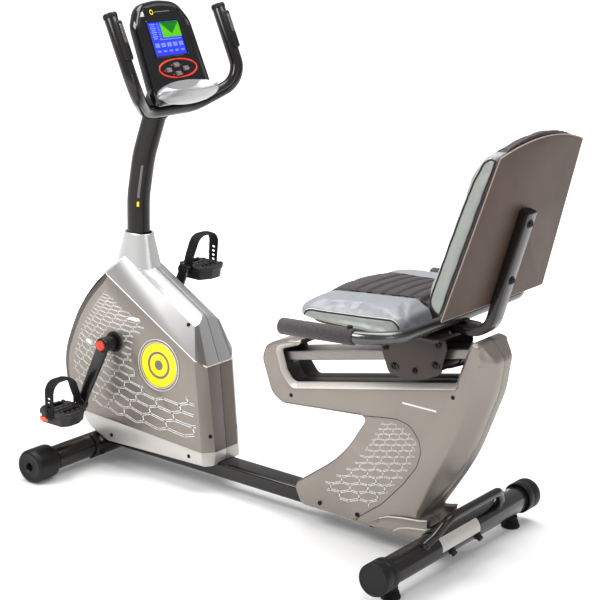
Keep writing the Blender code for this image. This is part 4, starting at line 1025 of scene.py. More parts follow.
def crank(name, side):
    x, z = pedal_centre(side)
    out = (0, side, 0)
    boss = lathe([(0, 0.0104), (0, 0.0165), (0.002, 0.018), (0.026, 0.018), (0.028, 0.0175), (0.03, 0.018),
                  (0.042, 0.0178), (0.044, 0.0168), (0.0447, 0.015), (0.0447, 0.0104)],
                 (CRANK_X, side * 0.0715, CRANK_Z), out, 48)
    root, tip = Vector((CRANK_X, CRANK_Z)), Vector((x, z))
    along = (tip - root).normalized()
    across = Vector((-along.y, along.x))
    rings = []
    for part in [k / 20 for k in range(21)]:
        centre = root.lerp(tip, part)
        half = 0.0165 + (0.0125 - 0.0165) * part
        thick = 0.0068 + (0.0062 - 0.0068) * part
        bend = ARM_BEND * (part * part * (3 - 2 * part))
        y = side * ((ARM_IN + ARM_OUT) / 2 + bend)
        ring = []
        for n in range(28):
            turn = math.tau * n / 28
            c, s = math.cos(turn), math.sin(turn)
            a, b = math.copysign(abs(c) ** 0.55, c) * half, math.copysign(abs(s) ** 0.55, s) * thick
            spot = centre + across * a
            ring.append((spot.x, y + b, spot.y))
        rings.append(ring)
    web = loft(rings)
    eye_y = side * (ARM_IN + ARM_BEND)
    eye = lathe([(0, 0), (0, 0.013), (0.0015, 0.0146), (0.014, 0.0146), (0.0158, 0.0132), (0.016, 0)],
                (x, eye_y, z), out, 40)
    spindle = rod((x, side * (ARM_OUT + ARM_BEND - 0.004), z), (x, side * (PEDAL_Y + 0.038), z), 0.0058,
                  edge=0.001)
    nut = lathe([(0, 0), (0, 0.0078), (0.0055, 0.0078), (0.006, 0)], (x, side * (ARM_OUT + ARM_BEND), z),
                out, 6)
    joined("crank_" + name, [(boss, BLACK), (web, BLACK), (eye, BLACK), (spindle, STEEL), (nut, STEEL)],
           "crank", "crank_arm_" + name)


def axle():
    shaft = rod((CRANK_X, -0.1175, CRANK_Z), (CRANK_X, 0.1175, CRANK_Z), 0.0098)
    rim = [(0, 0), (0, 0.015), (0.0016, 0.0152), (0.0022, 0.0142), (0.0022, 0.0132), (0.0012, 0.0124),
           (0.0012, 0)]
    dome = [(0, 0), (0, 0.0124), (0.0024, 0.0122), (0.0036, 0.0108), (0.004, 0.008), (0.004, 0.003),
            (0.0034, 0.0022), (0.0034, 0)]
    caps = [(lathe(profile, (CRANK_X, side * y, CRANK_Z), (0, side, 0), 48), paint)
            for side in SIDES.values() for profile, y, paint in ((rim, 0.116, BLACK), (dome, 0.1165, RED))]
    joined("axle_and_caps", [(shaft, STEEL)] + caps, "crank", "crank_axle")


def pedal(name, side):
    """Tread plate over a cage, raised oval studs, an amber lens on the outer side and the toe strap."""
    x, z = pedal_centre(side)
    y = side * PEDAL_Y
    long, wide = PEDAL_LONG / 2, PEDAL_WIDE / 2
    plan = [(-0.66 * long, -wide, 0.01), (0.66 * long, -wide, 0.01), (long, -0.2 * wide, 0.02),
            (long, 0.5 * wide, 0.02), (0.72 * long, wide, 0.01), (-0.72 * long, wide, 0.01),
            (-long, 0.5 * wide, 0.02), (-long, -0.2 * wide, 0.02)]
    plan = rounded([(x + a, y + side * b, radius) for a, b, radius in plan], 6)
    plate = slab(plan, z - 0.006, z + 0.005, 0.0025, "Z", 3)
    cage = layered(plan, [(0.008, z + PEDAL_LOW), (0.0055, z + PEDAL_LOW + 0.0015), (0.0048, z - 0.015),
                          (0.004, z - 0.0065), (0.006, z - 0.005)], "Z")
    for solid in (cage, plate):
        for hole in (x - 0.026, x + 0.026):
            cut(solid, slab(rect(hole - 0.008, y - 0.026, hole + 0.008, y + 0.026, 0.004, 3), z - 0.05,
                            z + 0.05, 0.001, "Z", 1))
    bore = rod((x, y - side * 0.06, z), (x, y + side * 0.042, z), 0.0064, segments=24)
    plate = cut(plate, copy(bore))
    cage = cut(cage, bore)
    parts = [(plate, PEDAL), (cage, PEDAL)]
    for row in range(6):
        for column in range(5):
            a = -0.034 + 0.0136 * row
            b = -0.034 + 0.0155 * column + (0.0075 if row % 2 else 0)
            if abs(b) > 0.04 or abs(a) > 0.048 or abs(abs(a) - 0.026) < 0.0065 and abs(b) < 0.027:
                continue
            stud = lathe([(0, 0), (0, 0.0048), (0.0022, 0.0042), (0.003, 0.003), (0.0026, 0.0016),
                          (0.0026, 0)], (0, 0, 0), (0, 0, 1), 20)
            spot = Matrix.Translation((x + a, y + side * b, z + 0.0048))
            moved(stud, spot @ Matrix.Diagonal((0.8, 1.25, 1, 1)))
            parts.append((stud, PEDAL))
    lens = slab(rect(x - 0.036, z - 0.024, x - 0.01, z - 0.013, 0.003, 4),
                *wall(side, PEDAL_Y + wide - 0.008, PEDAL_Y + wide - 0.0035), 0.0012, "Y", 2)
    parts.append((lens, AMBER))
    joined("pedal_block_" + name, parts, "pedal_" + name[0], "pedal_" + name)
    strap(name, side, x, y, z)


def strap(name, side, x, y, z):
    wide = PEDAL_WIDE / 2
    half = wide + GAP + 0.0016
    path = rounded([(x, y - side * half, z - 0.013, 0), (x, y - side * half, z + 0.022, 0.03),
                    (x, y - side * 0.022, z + 0.078, 0.034), (x, y + side * 0.05, z + 0.078, 0.03),
                    (x, y + side * half, z + 0.022, 0.03), (x, y + side * half, z - 0.013, 0)], 12, False)
    path = spread_points(path, 0.004, False)
    middle = Vector((x, y + side * 0.006, z + 0.015))
    length = sum((b - a).length for a, b in zip(path, path[1:]))
    rings, run = [], 0.0
    for n, point in enumerate(path):
        run += (point - path[n - 1]).length if n else 0.0
        along = (path[min(n + 1, len(path) - 1)] - path[max(n - 1, 0)]).normalized()
        out = Vector((0, point.y - middle.y, max(0.0, point.z - middle.z)))
        out = (out - along * out.dot(along)).normalized()
        part = run / length
        broad = 0.0105 + 0.0035 * max(0.0, math.cos((part - 0.5) * math.tau * 0.5)) ** 0.5
        section = [(-broad, -0.0012), (-broad, 0.0006), (-broad + 0.0012, 0.0012), (-broad * 0.5, 0.0011),
                   (-broad * 0.42, 0.0022), (-broad * 0.26, 0.0025), (-broad * 0.18, 0.0014),
                   (broad * 0.18, 0.0014), (broad * 0.26, 0.0025), (broad * 0.42, 0.0022),
                   (broad * 0.5, 0.0011), (broad - 0.0012, 0.0012),
                   (broad, 0.0006), (broad, -0.0012)]
        rings.append([point + Vector((a, 0, 0)) + out * b for a, b in section])
    band = loft(rings)
    for k in range(4):
        low = z + 0.004 + 0.0105 * k
        band = cut(band, slab(rect(x - 0.0052, low, x + 0.0052, low + 0.0055, 0.0022, 4),
                              *wall(side, PEDAL_Y + wide - 0.012, PEDAL_Y + wide + 0.02), 0.0002, "Y", 1))
    band = cut(band, rod((x, side * 0.125, z), (x, side * 0.155, z), 0.0085, segments=24))
    joined("toe_strap_" + name, [(band, RUBBER)], "pedal_" + name[0], "pedal_strap_" + name)


# ---------------------------------------------------------------- post, handlebar and console
def bar_path(steps=16):
    half = [(-0.8451, 0.189, 1.106, 0), (-0.766, 0.188, 0.94, 0.06), (-0.826, 0.085, 0.881, 0.085)]
    return rounded(mirrored(half), steps, False)


def steering():
    path = rounded([(-0.914, 0, 0.549, 0), (-0.917, 0, 0.66, 0.25), (-0.903, 0, 0.76, 0.3),
                    (-0.8686, 0, 0.87, 0)], 14, False)
    finish(sweep(path, POST_R, 48), "post_tube", POST, "base", "console_post", 60)
    ends = bar_path()
    bar = sweep(ends, BAR_R, 36, edge=0.002)
    plugs = []
    for tip, before in ((ends[0], ends[1]), (ends[-1], ends[-2])):
        along = (tip - before).normalized()
        plugs.append((lathe([(-0.006, 0), (-0.006, BAR_R + 0.0006), (0.0015, BAR_R + 0.0009),
                             (0.003, BAR_R - 0.0006), (0.0042, BAR_R - 0.005), (0.0046, 0)],
                            tip - along * 0.003, along, 40), RUBBER))
    joined("handlebar_tube", [(bar, BLACK)] + plugs, "base", "handlebar", 60)

    # Two plain stripes on the post.
    turns = [math.radians(-58 + 3 * k) for k in range(5)]
    section = [(size * math.cos(turn), size * math.sin(turn))
               for size, arc in ((POST_R + 0.0002, turns), (POST_R - 0.001, turns[::-1])) for turn in arc]
    points = spread_points(path, 0.004, False)
    bands = [(loft([[Vector((p.x + a, b, p.z)) for a, b in section] for p in points if low <= p.z <= high]),
              paint) for low, high, paint in ((0.64, 0.655, YELLOW), (0.662, 0.745, GREY))]
    joined("post_stripe", bands, "base", (), 30)

    def pulse(name, side):
        top, bottom = Vector((-0.8365, side * 0.1889, 1.088)), Vector((-0.7975, side * 0.1885, 1.006))
        along = (top - bottom).normalized()
        lean = Matrix.Translation(bottom) @ Matrix.Rotation(-math.atan2(-along.x, along.z), 4, "Y")
        length = (top - bottom).length
        outline = rounded([(-0.004, -0.013, 0.003), (0.0225, -0.0088, 0.007), (0.0225, 0.0088, 0.007),
                           (-0.004, 0.013, 0.003)], 6)
        shell = slab(outline, 0.0, length, 0.005, "Z", 3)
        shell = cut(shell, rod((0, 0, -0.02), (0, 0, length + 0.02), BAR_R + 0.0004, segments=48))
        shell = combine(shell, box((0.002, -0.05, -0.05), (0.05, 0.05, 0.2)), "INTERSECT")
        shell = cut(shell, slab(rect(-0.0045, 0.01, 0.0045, 0.03, 0.002, 4), 0.0212, 0.03, 0.0003, "X", 1))
        plate = slab(rect(-0.0052, 0.038, 0.0052, length - 0.009, 0.003, 5), 0.0205, 0.0229, 0.0008, "X", 2)
        joined("pulse_housing_" + name, [(moved(shell, lean), SATIN), (moved(plate, lean), STEEL)], "base",
               "pulse_grip_" + name, 30)

    twins(pulse)


KEYS = {"start_key": (0.077, -0.03), "mode_key": (0.077, 0.03), "up_key": (0.087, 0.0),
        "down_key": (0.067, 0.0)}
KEY_HALF, KEY_ROOM = (0.0055, 0.0085), 0.0006
SCREEN_LOW, SCREEN_HIGH, SCREEN_HALF = 0.112, 0.192, 0.055


def screen_box(grow, low, high):
    """A block over the screen's opening, larger by grow on every side."""
    half = SCREEN_HALF + grow
    return box((SCREEN_LOW - grow, -half, low), (SCREEN_HIGH + grow, half, high))


def console_outline(steps=10):
    return rounded([(0.0, -0.09, 0.02), (0.0, 0.09, 0.02), (0.035, 0.104, 0.04), (0.19, 0.097, 0.05),
                    (0.236, 0.066, 0.05), (0.244, 0.0, 0.2), (0.236, -0.066, 0.05),
                    (0.19, -0.097, 0.05), (0.035, -0.104, 0.04)], steps)


def around(up, across, half_up, half_across, radius, steps):
    """A rounded rectangle by its middle and its half sides."""
    return rect(up - half_up, across - half_across, up + half_up, across + half_across, radius, steps)


def flat(up, across, half_up, half_across, low, high, radius, edge, steps):
    """A thin rounded tile on the console's face."""
    return slab(around(up, across, half_up, half_across, radius, steps), low, high, edge, "Z", 1,
                ends=(False, True))


def console():
    face = face_matrix()
    outline = spread_points(console_outline(), 0.012)
    shell = layered(outline, [(0.014, -0.026), (0.007, -0.0254), (0.0025, -0.023), (0.0, -0.0185),
                              (0.0, -0.01), (0.0008, -0.006), (0.003, -0.0024), (0.006, -0.0008),
                              (0.0088, -0.0006), (0.0112, -0.0018), (0.013, -0.0034), (0.0138, -0.004)],
                    "Z")
    shell = cut(shell, screen_box(0.0, -0.0085, 0.01))
    plate = layered(inset(outline, 0.0142), [(0.0, -0.006), (0.0, -0.0038), (0.0006, -0.0034)], "Z")
    plate = cut(plate, screen_box(0.001, -0.02, 0.01))
    for up, across in KEYS.values():
        hole = slab(around(up, across, KEY_HALF[0] + KEY_ROOM, KEY_HALF[1] + KEY_ROOM, 0.002, 4), -0.007,
                    0.01, 0.0001, "Z", 1)
        plate = cut(plate, copy(hole))
        shell = cut(shell, hole)
    border = rect(SCREEN_LOW - 0.004, -SCREEN_HALF - 0.004, SCREEN_HIGH + 0.004, SCREEN_HALF + 0.004, 0.005,
                  6)
    bezel = layered(border, [(0, -0.0045), (0, -0.0026), (0.001, -0.0016), (0.0026, -0.0016),
                             (0.004, -0.0032), (0.0041, -0.007)], "Z", close=True)
    neck = lathe([(0.0, 0.0), (0.0, 0.0285), (0.003, 0.0305), (0.05, 0.0318), (0.096, 0.0345), (0.096, 0)],
                 (-0.8706, 0, 0.864), (0.0315, 0, 0.093), 48)
    neck = cut(neck, sweep(bar_path(), BAR_R + 0.0008, 24))
    knob = lathe([(0, 0), (0, 0.005), (0.01, 0.005), (0.011, 0.0105), (0.013, 0.012), (0.02, 0.0118),
                  (0.0225, 0.01), (0.0232, 0.006), (0.0234, 0)], (-0.864, -0.023, 0.87), (0.15, -1, -0.1),
                 32)
    joined("console_shell", [(moved(shell, face), RIM), (moved(plate, face), CHARCOAL),
                             (moved(bezel, face), RIM), (neck, SATIN), (knob, SATIN)],
           "base", "console_housing", 30)

    # Display: lens, a stepped programme profile, columns of cells at the left and rows below.
    parts = [(moved(screen_box(-0.0002, -0.0084, -0.005), face), LENS)]

    def tile(up, across, half_up, half_across, paint, layer=0):
        low = -0.0051 + 0.0002 * layer
        parts.append((moved(flat(up, across, half_up, half_across, low, low + 0.0003, 0.0002, 0.0001, 1),
                            face), paint))

    left, wide = -0.0105, 0.066 / 17
    tile(0.1725, left + 0.033, 0.0185, 0.033, LIT)
    for column in range(17):
        depth = max(0.0015, 0.0285 * (1 - abs(column - 8) / 8.6))
        tile(0.1905 - depth / 2, left + wide * (column + 0.5), depth / 2, wide * 0.46, SHADE, 1)
    for row in range(8):
        tile(0.1865 - 0.0048 * row, -0.0375, 0.0015, 0.007 if row % 2 else 0.0095, CELL)
        tile(0.1865 - 0.0048 * row, -0.019, 0.001, 0.0045, CELL)
    tile(0.1495, 0.012, 0.0011, 0.038, CELL)
    for column in range(5):
        tile(0.137, -0.039 + 0.0205 * column, 0.005, 0.0075, CELL)
        tile(0.1225, -0.039 + 0.0205 * column, 0.0022, 0.006, CELL)
    joined("display", parts, "base", "lcd_lens", 30)

    # Oval band round the keys, with plain ticks beside them.
    rings = []
    for part in range(96):
        turn = math.tau * part / 96
        c, s = math.cos(turn), math.sin(turn)
        centre = Vector((0.08 + 0.0215 * s, 0.006 + 0.0655 * c, 0))
        out = Vector((s / 0.0215, c / 0.0655, 0)).normalized()
        width = 0.0013 + 0.0011 * abs(c) ** 0.6
        rings.append([centre + out * a + Vector((0, 0, b)) for a, b in
                      ((-width, -0.0045), (-width, -0.003), (-width * 0.6, -0.0025), (width * 0.6, -0.0025),
                       (width, -0.003), (width, -0.0045))])
    ticks = [(moved(loft(rings, close=True), face), RED)]
    tick_places = ((0.088, -0.014), (0.066, -0.014), (0.088, 0.014), (0.066, 0.014), (0.077, -0.043),
                   (0.077, 0.043))
    for up, across, half_up, half_across, high, radius, steps, paint in (
            *((up, across, 0.0013, 0.0026, -0.0028, 0.0006, 2, RED) for up, across in tick_places),
            (0.2145, -0.029, 0.006, 0.006, -0.0028, 0.0055, 6, YELLOW),
            (0.2145, -0.029, 0.0036, 0.0036, -0.0026, 0.0033, 6, CHARCOAL),
            (0.2145, 0.008, 0.0014, 0.027, -0.0028, 0.0008, 2, GREY),
            (0.212, -0.066, 0.006, 0.01, -0.003, 0.001, 2, PAPER)):
        ticks.append((moved(flat(up, across, half_up, half_across, -0.004, high, radius, 0.0002, steps),
                            face), paint))
    joined("console_marks", ticks, "base", (), 30)

    for name, (up, across) in KEYS.items():
        key = layered(around(up, across, *KEY_HALF, 0.0022, 5),
                      [(0.0, -0.0042), (0.0, -0.0004), (0.0006, 0.0006), (0.0016, 0.0011), (0.0024, 0.001)], "Z")
        finish(moved(key, face), name.replace("_key", "_button"), KEY, "key_" + name.split("_")[0],
               name, 40)
    tray(face)


def ellipsoid(centre, radii, low):
    """An ellipsoid on the console's face, cut off flat below a height."""
    bm = bmesh.new()
    bmesh.ops.create_uvsphere(bm, u_segments=96, v_segments=48, radius=1.0)
    bmesh.ops.scale(bm, vec=radii, verts=bm.verts)
    bmesh.ops.translate(bm, vec=centre, verts=bm.verts)
    return combine(mesh_object(bm), box((-0.1, -0.2, low), (0.2, 0.2, 0.1)), "INTERSECT")


def tray(face):
    """Crescent ledge: a swelling on the face, hollowed to a dish that runs up to its upper arc."""
    ledge = cut(ellipsoid((0.022, 0.007, 0.0), (0.028, 0.103, 0.046), -0.003),
                ellipsoid((0.049, 0.007, 0.03), (0.036, 0.098, 0.034), 0.0014))
    finish(moved(ledge, face), "console_ledge", SILVER, "base", "console_tray", 30, 0.0006)


# ---------------------------------------------------------------- rear casing and rail
def side_outline(steps=8):
    return rounded([(-0.4965, 0.366, 0.03), (-0.4865, 0.396, 0.015), (-0.468, 0.4085, 0.02),
                    (-0.424, 0.4245, 0.01), (-0.386, 0.4275, 0.005), (-0.4, 0.413, 0.004),
                    (-0.446, 0.395, 0.006), (-0.43, 0.35, 0.02),
                    (-0.409, 0.3256, 0.02), (0.006, 0.4155, 0.012), (0.036, 0.512, 0.012),
                    (0.06, 0.509, 0.018), (0.0905, 0.475, 0.03), (0.083, 0.4, 0.2),
                    (0.022, 0.219, 0.6), (-0.066, 0.093, 0.03), (-0.0355, 0.082, 0.004),
                    (-0.0355, 0.046, 0.004), (-0.372, 0.046, 0.02), (-0.395, 0.09, 0.02),
                    (-0.266, 0.188, 0.36), (-0.205, 0.2935, 0.01), (-0.437, 0.2715, 0.04),
                    (-0.466, 0.29, 0.04)], steps)


# The outline of the sunk leaf-shaped panel, which runs out over the casing's foot.
LEAF = [(-0.235, 0.27, 0), (-0.214, 0.2945, 0.004), (-0.167, 0.302, 0.03), (-0.129, 0.307, 0.03),
        (-0.095, 0.3, 0.03), (-0.07, 0.272, 0.03), (-0.064, 0.244, 0.03), (-0.073, 0.21, 0.06),
        (-0.105, 0.163, 0.1), (-0.155, 0.105, 0.1), (-0.212, 0.06, 0.1), (-0.26, 0.0, 0),
        (-0.45, 0.0, 0), (-0.45, 0.15, 0)]


def slot_line(x):
    """Height of the slot's lower edge under the rail."""
    return 0.328 + (x + 0.398) * 0.2166


def rear_casing():
    outline = spread_points(side_outline(), 0.02)

    def edge(p):
        """In-plane width of the rim: broad at the back, a flat chamfer inside the slot, small elsewhere."""
        x, z = p
        if x > -0.06 and z > 0.1 and x > -0.066 + (z - 0.093) * 0.34:
            low = max(0.0, min(1.0, (z - 0.1) / 0.08))
            high = max(0.0, min(1.0, (0.512 - z) / 0.05))
            return 0.008 + 0.026 * low * (0.35 + 0.65 * high)
        if abs(z - slot_line(x)) < 0.004 and -0.411 < x < 0.01:
            return 0.0155
        if -0.452 < x < -0.395 and 0.325 < z < 0.412:
            return 0.013
        return 0.01 if -0.002 < x < 0.035 and z > 0.41 else 0.007

    widths = [edge(p) for p in outline]
    for _ in range(2):
        widths = [(widths[n - 1] + 2 * widths[n] + widths[(n + 1) % len(widths)]) / 4
                  for n in range(len(widths))]
    body = slab(outline, -SIDE_HALF, SIDE_HALF, widths, depth=[w * 0.95 for w in widths], chamfer=True)
    half = SIDE_HALF - SIDE_WALL - 0.03
    body = cut(body, prism(inset(outline, SIDE_WALL), -half, half))
    seam = cut(prism(inset(outline, -0.004), -0.0006, 0.0006), prism(inset(outline, 0.0025), -0.01, 0.01))
    body = cut(body, seam)
    room, beam = 0.0012, BEAM_HALF + BEAM_ROOM
    corners = [rail_frame(along, above).xz for along, above in (
        (-0.004, room), (RAIL_LENGTH + 0.004, room), (RAIL_LENGTH + 0.004, -RAIL_THICK - room),
        (-0.004, -RAIL_THICK - room))]
    body = cut(body, prism(corners, -RAIL_HALF - room, RAIL_HALF + room),
               box((-0.5, -beam, 0.0), (0.0, beam, BEAM_HIGH + BEAM_ROOM)))
    for side in SIDES.values():
        body = cut(body, slab(rounded(LEAF, 8), *wall(side, SIDE_HALF - LEAF_DEPTH, SIDE_HALF + 0.01),
                              0.0001, steps=1))

    def shade(centre, normal):
        slot = slot_line(centre.x)
        # Chamfers along the slot's lower edge and up its nose take the lighter taupe: painted highlight.
        if abs(centre.y) > 0.034 and 0.2 < abs(normal.y) < 0.95:
            if -0.411 < centre.x < 0.01 and abs(centre.z - slot) < 0.017 and normal.z > 0.2:
                return 1
            if -0.464 < centre.x < -0.385 and 0.312 < centre.z < 0.43 and normal.x > 0.05:
                return 1
        # The slot's inner walls and floor take the darkest taupe: painted shade.
        if abs(normal.y) < 0.3 and abs(centre.y) < 0.05 and centre.z > slot - 0.004 \
                and -0.452 < centre.x < 0.04:
            if normal.x > 0.3 or (normal.z > 0.3 and centre.x < 0.01 and centre.z < slot + 0.05) \
                    or (normal.x < -0.3 and centre.x > -0.01):
                return 2
        return 0

    for name, side in SIDES.items():
        low, high = (-0.1, 0.0) if side < 0 else (0.0, 0.1)
        part = combine(copy(body), box((-0.6, low, 0.0), (0.2, high, 0.6)), "INTERSECT")
        finish(part, "side_casing_" + name, [TAUPE, TAUPE_HIGHLIGHT, TAUPE_SLOT_SHADE], "base",
               "rear_casing_" + name, 32, 0.0006, shade)
    bpy.data.objects.remove(body, do_unlink=True)
    casing_foot()

    def marks(name, side):
        area = [(-0.14, 0.298), (-0.1, 0.29), (-0.078, 0.268), (-0.073, 0.245), (-0.082, 0.213),
                (-0.112, 0.166), (-0.16, 0.112), (-0.186, 0.088), (-0.222, 0.078), (-0.262, 0.08),
                (-0.3, 0.094), (-0.318, 0.112), (-0.286, 0.138), (-0.24, 0.176), (-0.205, 0.222),
                (-0.182, 0.27), (-0.168, 0.292)]
        net = honeycomb((-0.2169, 0.114), (-0.1914, 0.4814), (0.025, 0.0105), (0.0235, 0.0002),
                        (0.0014, -0.0137), area, SIDE_HALF - LEAF_DEPTH, 0.0015, 0.0017)
        finish(flipped(net, side), "side_print_" + name, MARK, "base", (), 0)
        # A thin near-black cord along the sunk leaf panel's edge: the painted shadow of its step.
        line = rounded(LEAF[:12], 8, False)[1:-1]
        step_shadow = sweep([(p.x, side * (SIDE_HALF - 0.0006), p.y) for p in line if p.y > 0.05], 0.0009, 10)
        finish(step_shadow, "leaf_step_shadow_" + name, HOLE_SHADE, "base", (), 60)
        out = (0, side, 0)
        wells = [(recess((x, side * SIDE_HALF, z), out), HOLE_SHADE)
                 for x, z in ((-0.409, 0.297), (0.005, 0.386), (-0.319, 0.063), (-0.218, 0.063))]
        joined("side_screws_" + name, wells, "base")
        bar = slab(rect(-0.118, 0.3445, -0.032, 0.3485, 0.002, 4),
                   *wall(side, SIDE_HALF - 0.001, SIDE_HALF + 0.0003), 0.0002, "Y", 1)
        finish(bar, "side_stripe_" + name, MARK, "base", (), 30)

    twins(marks)
    rail = rect(-RAIL_HALF, -RAIL_THICK, RAIL_HALF, 0, 0.003, 4)
    rings = [[rail_frame(along, p.y, p.x) for p in (inset(rail, d) if d else rail)]
             for along, d in ((0.0, 0.001), (0.001, 0.0), (RAIL_LENGTH - 0.001, 0.0), (RAIL_LENGTH, 0.001))]
    finish(loft(rings), "slide_rail", RAIL, "base", "seat_rail", 30)


def casing_foot():
    """The moulded foot that spreads from the casing down to the beam and rear tube."""
    def make(name, side):
        top = [(-0.228, 0.0485), (-0.206, 0.053), (-0.18, 0.059), (-0.158, 0.0725), (-0.136, 0.0825),
               (-0.101, 0.0895), (-0.075, 0.0925), (-0.0534, 0.095), (-0.04, 0.0985), (-0.0355, 0.1)]
        rings = []
        for x, high in top:
            part = max(0.0, (x + 0.228) / 0.1925)
            swell, low = 0.001 + 0.005 * math.sin(part * math.pi / 2), 0.0462
            middle = low + (high - low) * 0.5
            out = SIDE_HALF + swell
            rings.append([(x, side * y, z) for y, z in
                          ((0.05, low), (out - 0.002, low), (out, low + 0.003), (out, middle - 0.006),
                           (out - 0.001, middle), (out - 0.0022, middle + 0.004),
                           (out - 0.0018, high - 0.008),
                           (out - 0.0008, high - 0.003), (out - 0.003, high), (0.05, high))])
        parts = [(loft(rings), TAUPE)]
        fold = [(-0.128, 0.05), (-0.1196, 0.054), (-0.108, 0.062), (-0.0982, 0.0665), (-0.08, 0.0715),
                (-0.0635, 0.0742), (-0.048, 0.0765), (-0.037, 0.078)]
        # The foot's two raised ridges, in the lighter taupe as a painted highlight.
        for line, lift, size in ((top[2:], 0.0048, 0.0022), (fold, 0.0042, 0.0018)):
            flat_path = rounded([(x, z, 0.03) for x, z in line], 4, False)
            path = [(p.x, side * (SIDE_HALF + lift * min(1.0, (p.x + 0.2) / 0.09)), p.y) for p in flat_path]
            sizes = [size * (0.25 + 0.75 * min(1.0, k / 6)) for k in range(len(path))]
            parts.append((sweep(path, sizes, 14), TAUPE_HIGHLIGHT))
        joined("casing_foot_" + name, parts, "base", (), 40)

    twins(make)


# ---------------------------------------------------------------- carriage
ROLLERS = {"carriage_roller_front": 0.317, "carriage_roller_rear": 0.42}
LEVER = (-0.112, 0.0, 0.47)


def carriage():
    outline = rounded([(-0.196, PLATE_TOP, 0.004), (-0.18, 0.454, 0.03), (-0.158, 0.404, 0.014),
                       (-0.12, 0.399, 0.05), (-0.072, 0.407, 0.05), (-0.03, 0.426, 0.016),
                       (-0.026, 0.456, 0.012),
                       (-0.0185, 0.483, 0.012), (-0.025, PLATE_TOP, 0.01)], 10)

    def plate(name, side):
        solid = slab(outline, *wall(side, PLATE_IN, PLATE_OUT), 0.0008, steps=2)
        spots = []
        for along in ROLLERS.values():
            spot = rail_frame(along, -RAIL_THICK - CARRIAGE_R - GAP)
            spots.append(spot)
            solid = cut(solid, rod((spot.x, -0.1, spot.z), (spot.x, 0.1, spot.z), 0.0036, segments=24))
        out = (0, side, 0)
        parts = [(solid, PLATE)]
        for x, z, r in ((-0.145, 0.422, 0.0065), (-0.044, 0.445, 0.0065), (-0.0927, 0.4227, 0.0052),
                        (-0.04, 0.491, 0.0065), (-0.169, 0.459, 0.0052), (-0.172, 0.492, 0.0052)):
            parts.append((bolt((x, side * PLATE_OUT, z), out, r, 0.0046), SATIN if r > 0.005 else STEEL))
        for spot in spots:
            parts.append((lathe([(0.0002, 0.0038), (0.0002, 0.0066), (0.001, 0.0072), (0.0026, 0.0066),
                                 (0.0028, 0.0038)], (spot.x, side * PLATE_OUT, spot.z), out, 28), PLATE))
        joined("slide_plate_" + name, parts, "seat", "carriage_plate_" + name, 30)

    twins(plate)
    for node, along in ROLLERS.items():
        spot = rail_frame(along, -RAIL_THICK - CARRIAGE_R - GAP)
        r = CARRIAGE_R
        profile = [(0, 0), (0, 0.003), (0.004, 0.0031), (0.0045, r - 0.0015), (0.006, r), (0.028, r),
                   (0.0295, r - 0.0025), (0.0795, r - 0.0025), (0.081, r), (0.103, r), (0.1045, r - 0.0015),
                   (0.105, 0.0031), (0.1088, 0.003), (0.1088, 0)]
        wheel = lathe(profile, (spot.x, -0.0544, spot.z), (0, 1, 0), 40)
        finish(wheel, node.replace("carriage_roller", "rail_wheel"), SATIN, "carriage_"
               + node.split("_")[-1], node)

    pan = slab(rect(-0.262, -0.095, -0.02, 0.095, 0.012, 6), PLATE_TOP + GAP, 0.5127, 0.0012, "Z", 2)
    rails = []
    for side in SIDES.values():
        low, high = wall(side, 0.07, 0.09)
        rails.append((slab(rect(-0.255, low, -0.05, high, 0.003, 3), 0.51, 0.523, 0.0008, "Z", 1), PLATE))
    joined("seat_pan", [(pan, PLATE)] + rails, "seat", "seat_frame", 30)
    outline = rounded([(-0.3, -0.185, 0.06), (-0.06, -0.185, 0.02), (-0.06, 0.185, 0.02),
                       (-0.3, 0.185, 0.06)], 10)
    board = slab(outline, 0.5233, SEAT_Z - GAP, 0.002, "Z", 3)
    finish(board, "seat_base_board", BOARD, "seat", "seat_board")

    x, _, z = LEVER
    hub = lathe([(0, 0), (0, 0.01), (0.001, 0.011), (0.0125, 0.011), (0.0143, 0.0096), (0.0146, 0)],
                (x, PLATE_OUT + 0.0004, z), (0, 1, 0), 36)
    arm = slab(rounded([(x - 0.002, z - 0.0075, 0.003), (x - 0.12, z - 0.022, 0.006),
                        (x - 0.122, z - 0.009, 0.006),
                        (x - 0.002, z + 0.0085, 0.003)], 6), 0.064, 0.069, 0.0012, steps=2)
    knob = lathe([(0, 0), (0, 0.007), (0.002, 0.0088), (0.01, 0.0095), (0.035, 0.0095), (0.042, 0.0086),
                  (0.0454, 0.0055), (0.0456, 0)], (x - 0.112, 0.0645, z - 0.0157), (0, 1, 0), 36)
    joined("adjust_lever", [(hub, SATIN), (arm, SATIN), (knob, RUBBER)], "lever",
           "seat_lever", 35)


# ---------------------------------------------------------------- seat, backrest and handles
def seat_handles():
    half = [(-0.27, GRIP_Y, 0.5354, 0), (-0.017, GRIP_Y, 0.5535, 0.075), (-0.017, 0.1, 0.5508, 0)]
    path = rounded(mirrored(half), 20, False)
    finish(sweep(path, TUBE_R, 36), "seat_handle_tube", TUBE, "seat", "seat_handle", 60)
    start, end = Vector((-0.2735, 0, 0.53515)), Vector((-0.092, 0, 0.54814))

    def grip(name, side):
        along = end - start
        length = along.length
        r = GRIP_R
        profile = [(0, 0), (0, r - 0.003), (0.0008, r - 0.0012), (0.0028, r), (length - 0.0022, r),
                   (length - 0.0006, r - 0.001), (length, r - 0.0022), (length, TUBE_R + 0.0004),
                   (0.0038, TUBE_R + 0.0004), (0.0036, 0)]
        sleeve = lathe(profile, start + Vector((0, side * GRIP_Y, 0)), along, 48)
        plug = lathe([(0, 0), (0, 0.0055), (0.003, 0.006), (0.0044, 0.0045), (0.0046, 0)],
                     start + Vector((0.1685, side * GRIP_Y, 0.03)), (0, 0, 1), 24)
        joined("handle_grip_" + name, [(sleeve, FOAM), (plug, RUBBER)], "seat", "seat_grip_" + name,
               40)

    twins(grip)


